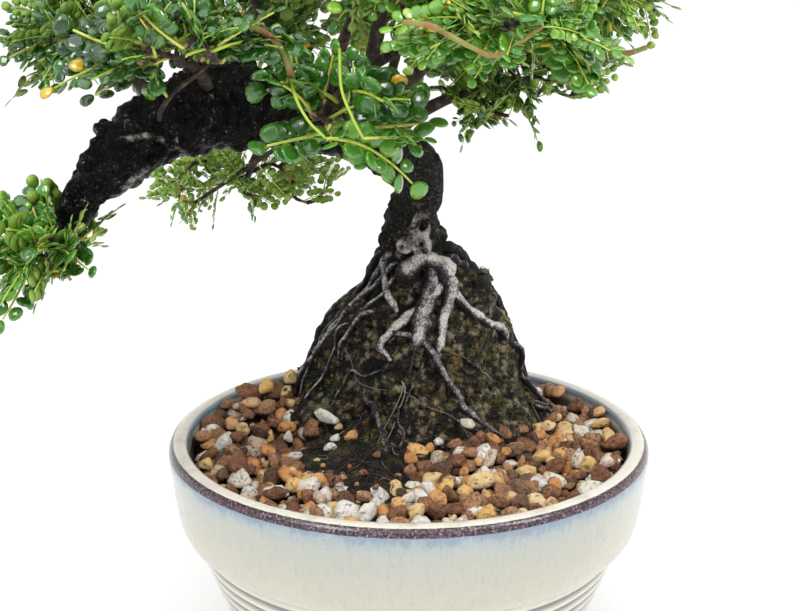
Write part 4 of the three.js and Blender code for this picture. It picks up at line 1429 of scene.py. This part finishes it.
            # Painted shade and light: leaves deep inside the pad are darker and those on its top are lighter.
            depth = np.linalg.norm((foot - self.middle) / size) - 0.7
            tone = shoot_tone + (0.26 * rng.random() if tip else 0.1 * rng.normal())
            tone = tone + 0.12 * away[2] + 0.3 * depth
            end = foot + heading * scale * leaf_length(pairs)
            if self.may_grow(end, size) and self.may_grow((foot + end) / 2, size):
                self.leaf(foot, heading, normal, pairs, scale, tone)

    def leaf(self, foot, heading, normal, pairs, scale, tone):
        """One pinnate leaf: an arched stalk with opposite pairs of leaflets and one at its end."""
        rng = self.rng
        normal = unit(normal - heading * np.dot(normal, heading))
        length = scale * leaf_length(pairs)
        share = np.linspace(0, 1, pairs + 3)[:, None]
        sag = 0.02 + 0.24 * rng.random()
        bend = 0.7 * (rng.random() - 0.5)
        path = foot + length * (share * heading + share**2 * (bend * np.cross(normal, heading) - sag * UP))
        radius = np.linspace(0.62, 0.34, len(path)) * scale
        self.shape.add(*tube(path, radius, self.stalk_sides), look=STALK, tone=0.25 + 0.6 * rng.random())
        tangent = unit(np.gradient(path, axis=0))
        lift = -0.3 + 0.9 * rng.random()
        for i in range(pairs):
            foot, t = path[i + 2], tangent[i + 2]
            n = unit(normal - t * np.dot(normal, t))
            s = np.cross(n, t)
            grown = scale * LEAFLET["length"] * (0.84 + 0.26 * math.sin(math.pi * (i + 1) / (pairs + 1)))
            for way in (-1, 1):
                tilt = lift + 0.3 * rng.normal()
                along = unit(way * s + (0.15 + 0.3 * rng.random()) * t + 0.5 * tilt * n)
                face = unit(n - 0.5 * tilt * way * s + 0.35 * rng.normal(size=3))
                size = grown * (0.86 + 0.28 * rng.random())
                self.leaflet(foot + along * 0.3, along, face, size, tone + 0.06 * rng.normal())
        end_face = unit(normal + 0.25 * rng.normal(size=3))
        self.leaflet(path[-1], tangent[-1], end_face, scale * LEAFLET["length"], tone + 0.08)

    def leaflet(self, foot, along, normal, size, tone):
        self.leaflets.append(np.concatenate([foot, along, normal, [size, tone]]))

    def add_leaflets(self):
        """Adds all the leaflets at once. A few have turned yellow."""
        points, faces, looks, hollow, pale_rim_and_sheen = self.template
        rng = self.rng
        rows = np.array(self.leaflets)
        count = len(rows)
        foot, along, normal, size = rows[:, None, 0:3], unit(rows[:, 3:6]), rows[:, 6:9], rows[:, 9:10]
        yellow, oldest, youngest = 1.0, 0, 0.93
        turned = rng.random(count) < YELLOW_LEAFLETS
        tone = np.where(turned, yellow, np.clip(rows[:, 10], oldest, youngest))[:, None]
        normal = unit(normal - along * np.sum(normal * along, 1, keepdims=True))
        across = np.cross(normal, along)
        dome = LEAFLET["dome"] * (0.5 + rng.random((count, 1)))
        height = points[None, :, 2] * dome * size
        height[:, hollow] -= LEAFLET["thick"]
        wide = 0.92 + 0.25 * rng.random((count, 1))
        made = foot + along[:, None] * (points[None, :, 0] * size)[..., None]
        made = made + across[:, None] * (points[None, :, 1] * size * wide)[..., None]
        made = made + normal[:, None] * height[..., None]
        tris = faces[None] + (np.arange(count) * len(points))[:, None, None]
        # The margins are made paler, partly as painted highlight.
        tone = np.minimum(tone + pale_rim_and_sheen, np.maximum(tone, youngest))
        self.shape.add(made, tris, np.tile(looks, count), tone.ravel())


def make_crown():
    looks = [leaf_look(), leaf_under_look(), stalk_look(), twig_look()]
    for index, name in enumerate(PADS):
        pad = Foliage(name, index)
        pad.grow()
        pad.add_leaflets()
        piece("leaves_" + name, pad.shape, looks, "foliage_" + name)


# The screen, the stage and the camera

def finish_screen():
    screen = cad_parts["drainage_screen"]
    screen.data.materials.clear()
    screen.data.materials.append(screen_look())


def make_floor():
    """A white disc whose edge sweeps up far behind."""
    rings = round_rings(*spline(SWEEP, 24).T, SWEEP_SIDES)
    walls = wall_faces(len(rings), SWEEP_SIDES)[:, ::-1]
    middle = [(rings.size // 3, j, (j + 1) % SWEEP_SIDES) for j in range(SWEEP_SIDES)]
    floor = mesh_object("floor", np.vstack([rings.reshape(-1, 3), [[0, 0, 0]]]), np.vstack([walls, middle]))
    floor.data.materials.append(floor_look())


def aim_light(data, aim):
    light = link(data.name, data)
    light.rotation_euler = (math.acos(-aim[2]), 0, math.atan2(aim[0], -aim[1]) + math.pi)
    return light


def area_light(name, at, target, size, power):
    data = bpy.data.lights.new(name, "AREA")
    data.shape = "RECTANGLE"
    data.size, data.size_y = size[0] * MM, size[1] * MM
    data.energy = power
    at, target = np.array(at, dtype=float), np.array(target, dtype=float)
    light = aim_light(data, unit(target - at))
    light.location = (at + AXIS) * MM


def sky_light(name, from_side, strength, spread):
    """Even soft light from one direction, spread over that many degrees."""
    data = bpy.data.lights.new(name, "SUN")
    data.energy = strength
    data.angle = math.radians(spread)
    aim_light(data, -unit(np.array(from_side)))


def make_stage():
    make_floor()
    world = bpy.data.worlds.new("studio")
    world.use_nodes = True
    background = world.node_tree.nodes["Background"]
    background.inputs["Color"].default_value = (1, 1, 1, 1)
    background.inputs["Strength"].default_value = 0.47
    scene = bpy.context.scene
    scene.world = world
    scene.view_settings.view_transform = "Standard"
    scene.view_settings.look = "None"
    sky_light("overhead", (-0.1, -0.3, 1.0), 1.75, 80)
    middle = (0, 0, 150)
    area_light("left_softbox", (-420, -460, 700), middle, (300, 300), 2.4)
    area_light("right_softbox", (480, -260, 620), middle, (200, 300), 2.2)


def make_camera():
    data = bpy.data.cameras.new("camera")
    data.lens = CAMERA["lens"]
    data.sensor_width = CAMERA["sensor"]
    data.clip_start = CAMERA["clip"] * MM
    camera = link("camera", data)
    camera.location = (np.array(CAMERA["at"]) + AXIS) * MM
    camera.rotation_euler = (math.radians(90 - CAMERA["pitch"]), 0, 0)
    bpy.context.scene.camera = camera


make_camera()
make_stage()
make_pot()
finish_screen()
make_cone()
make_spill()
make_crumbs()
make_moss()
make_hairs()
make_stones()
make_fines()
make_trunk()
make_roots()
make_crown()
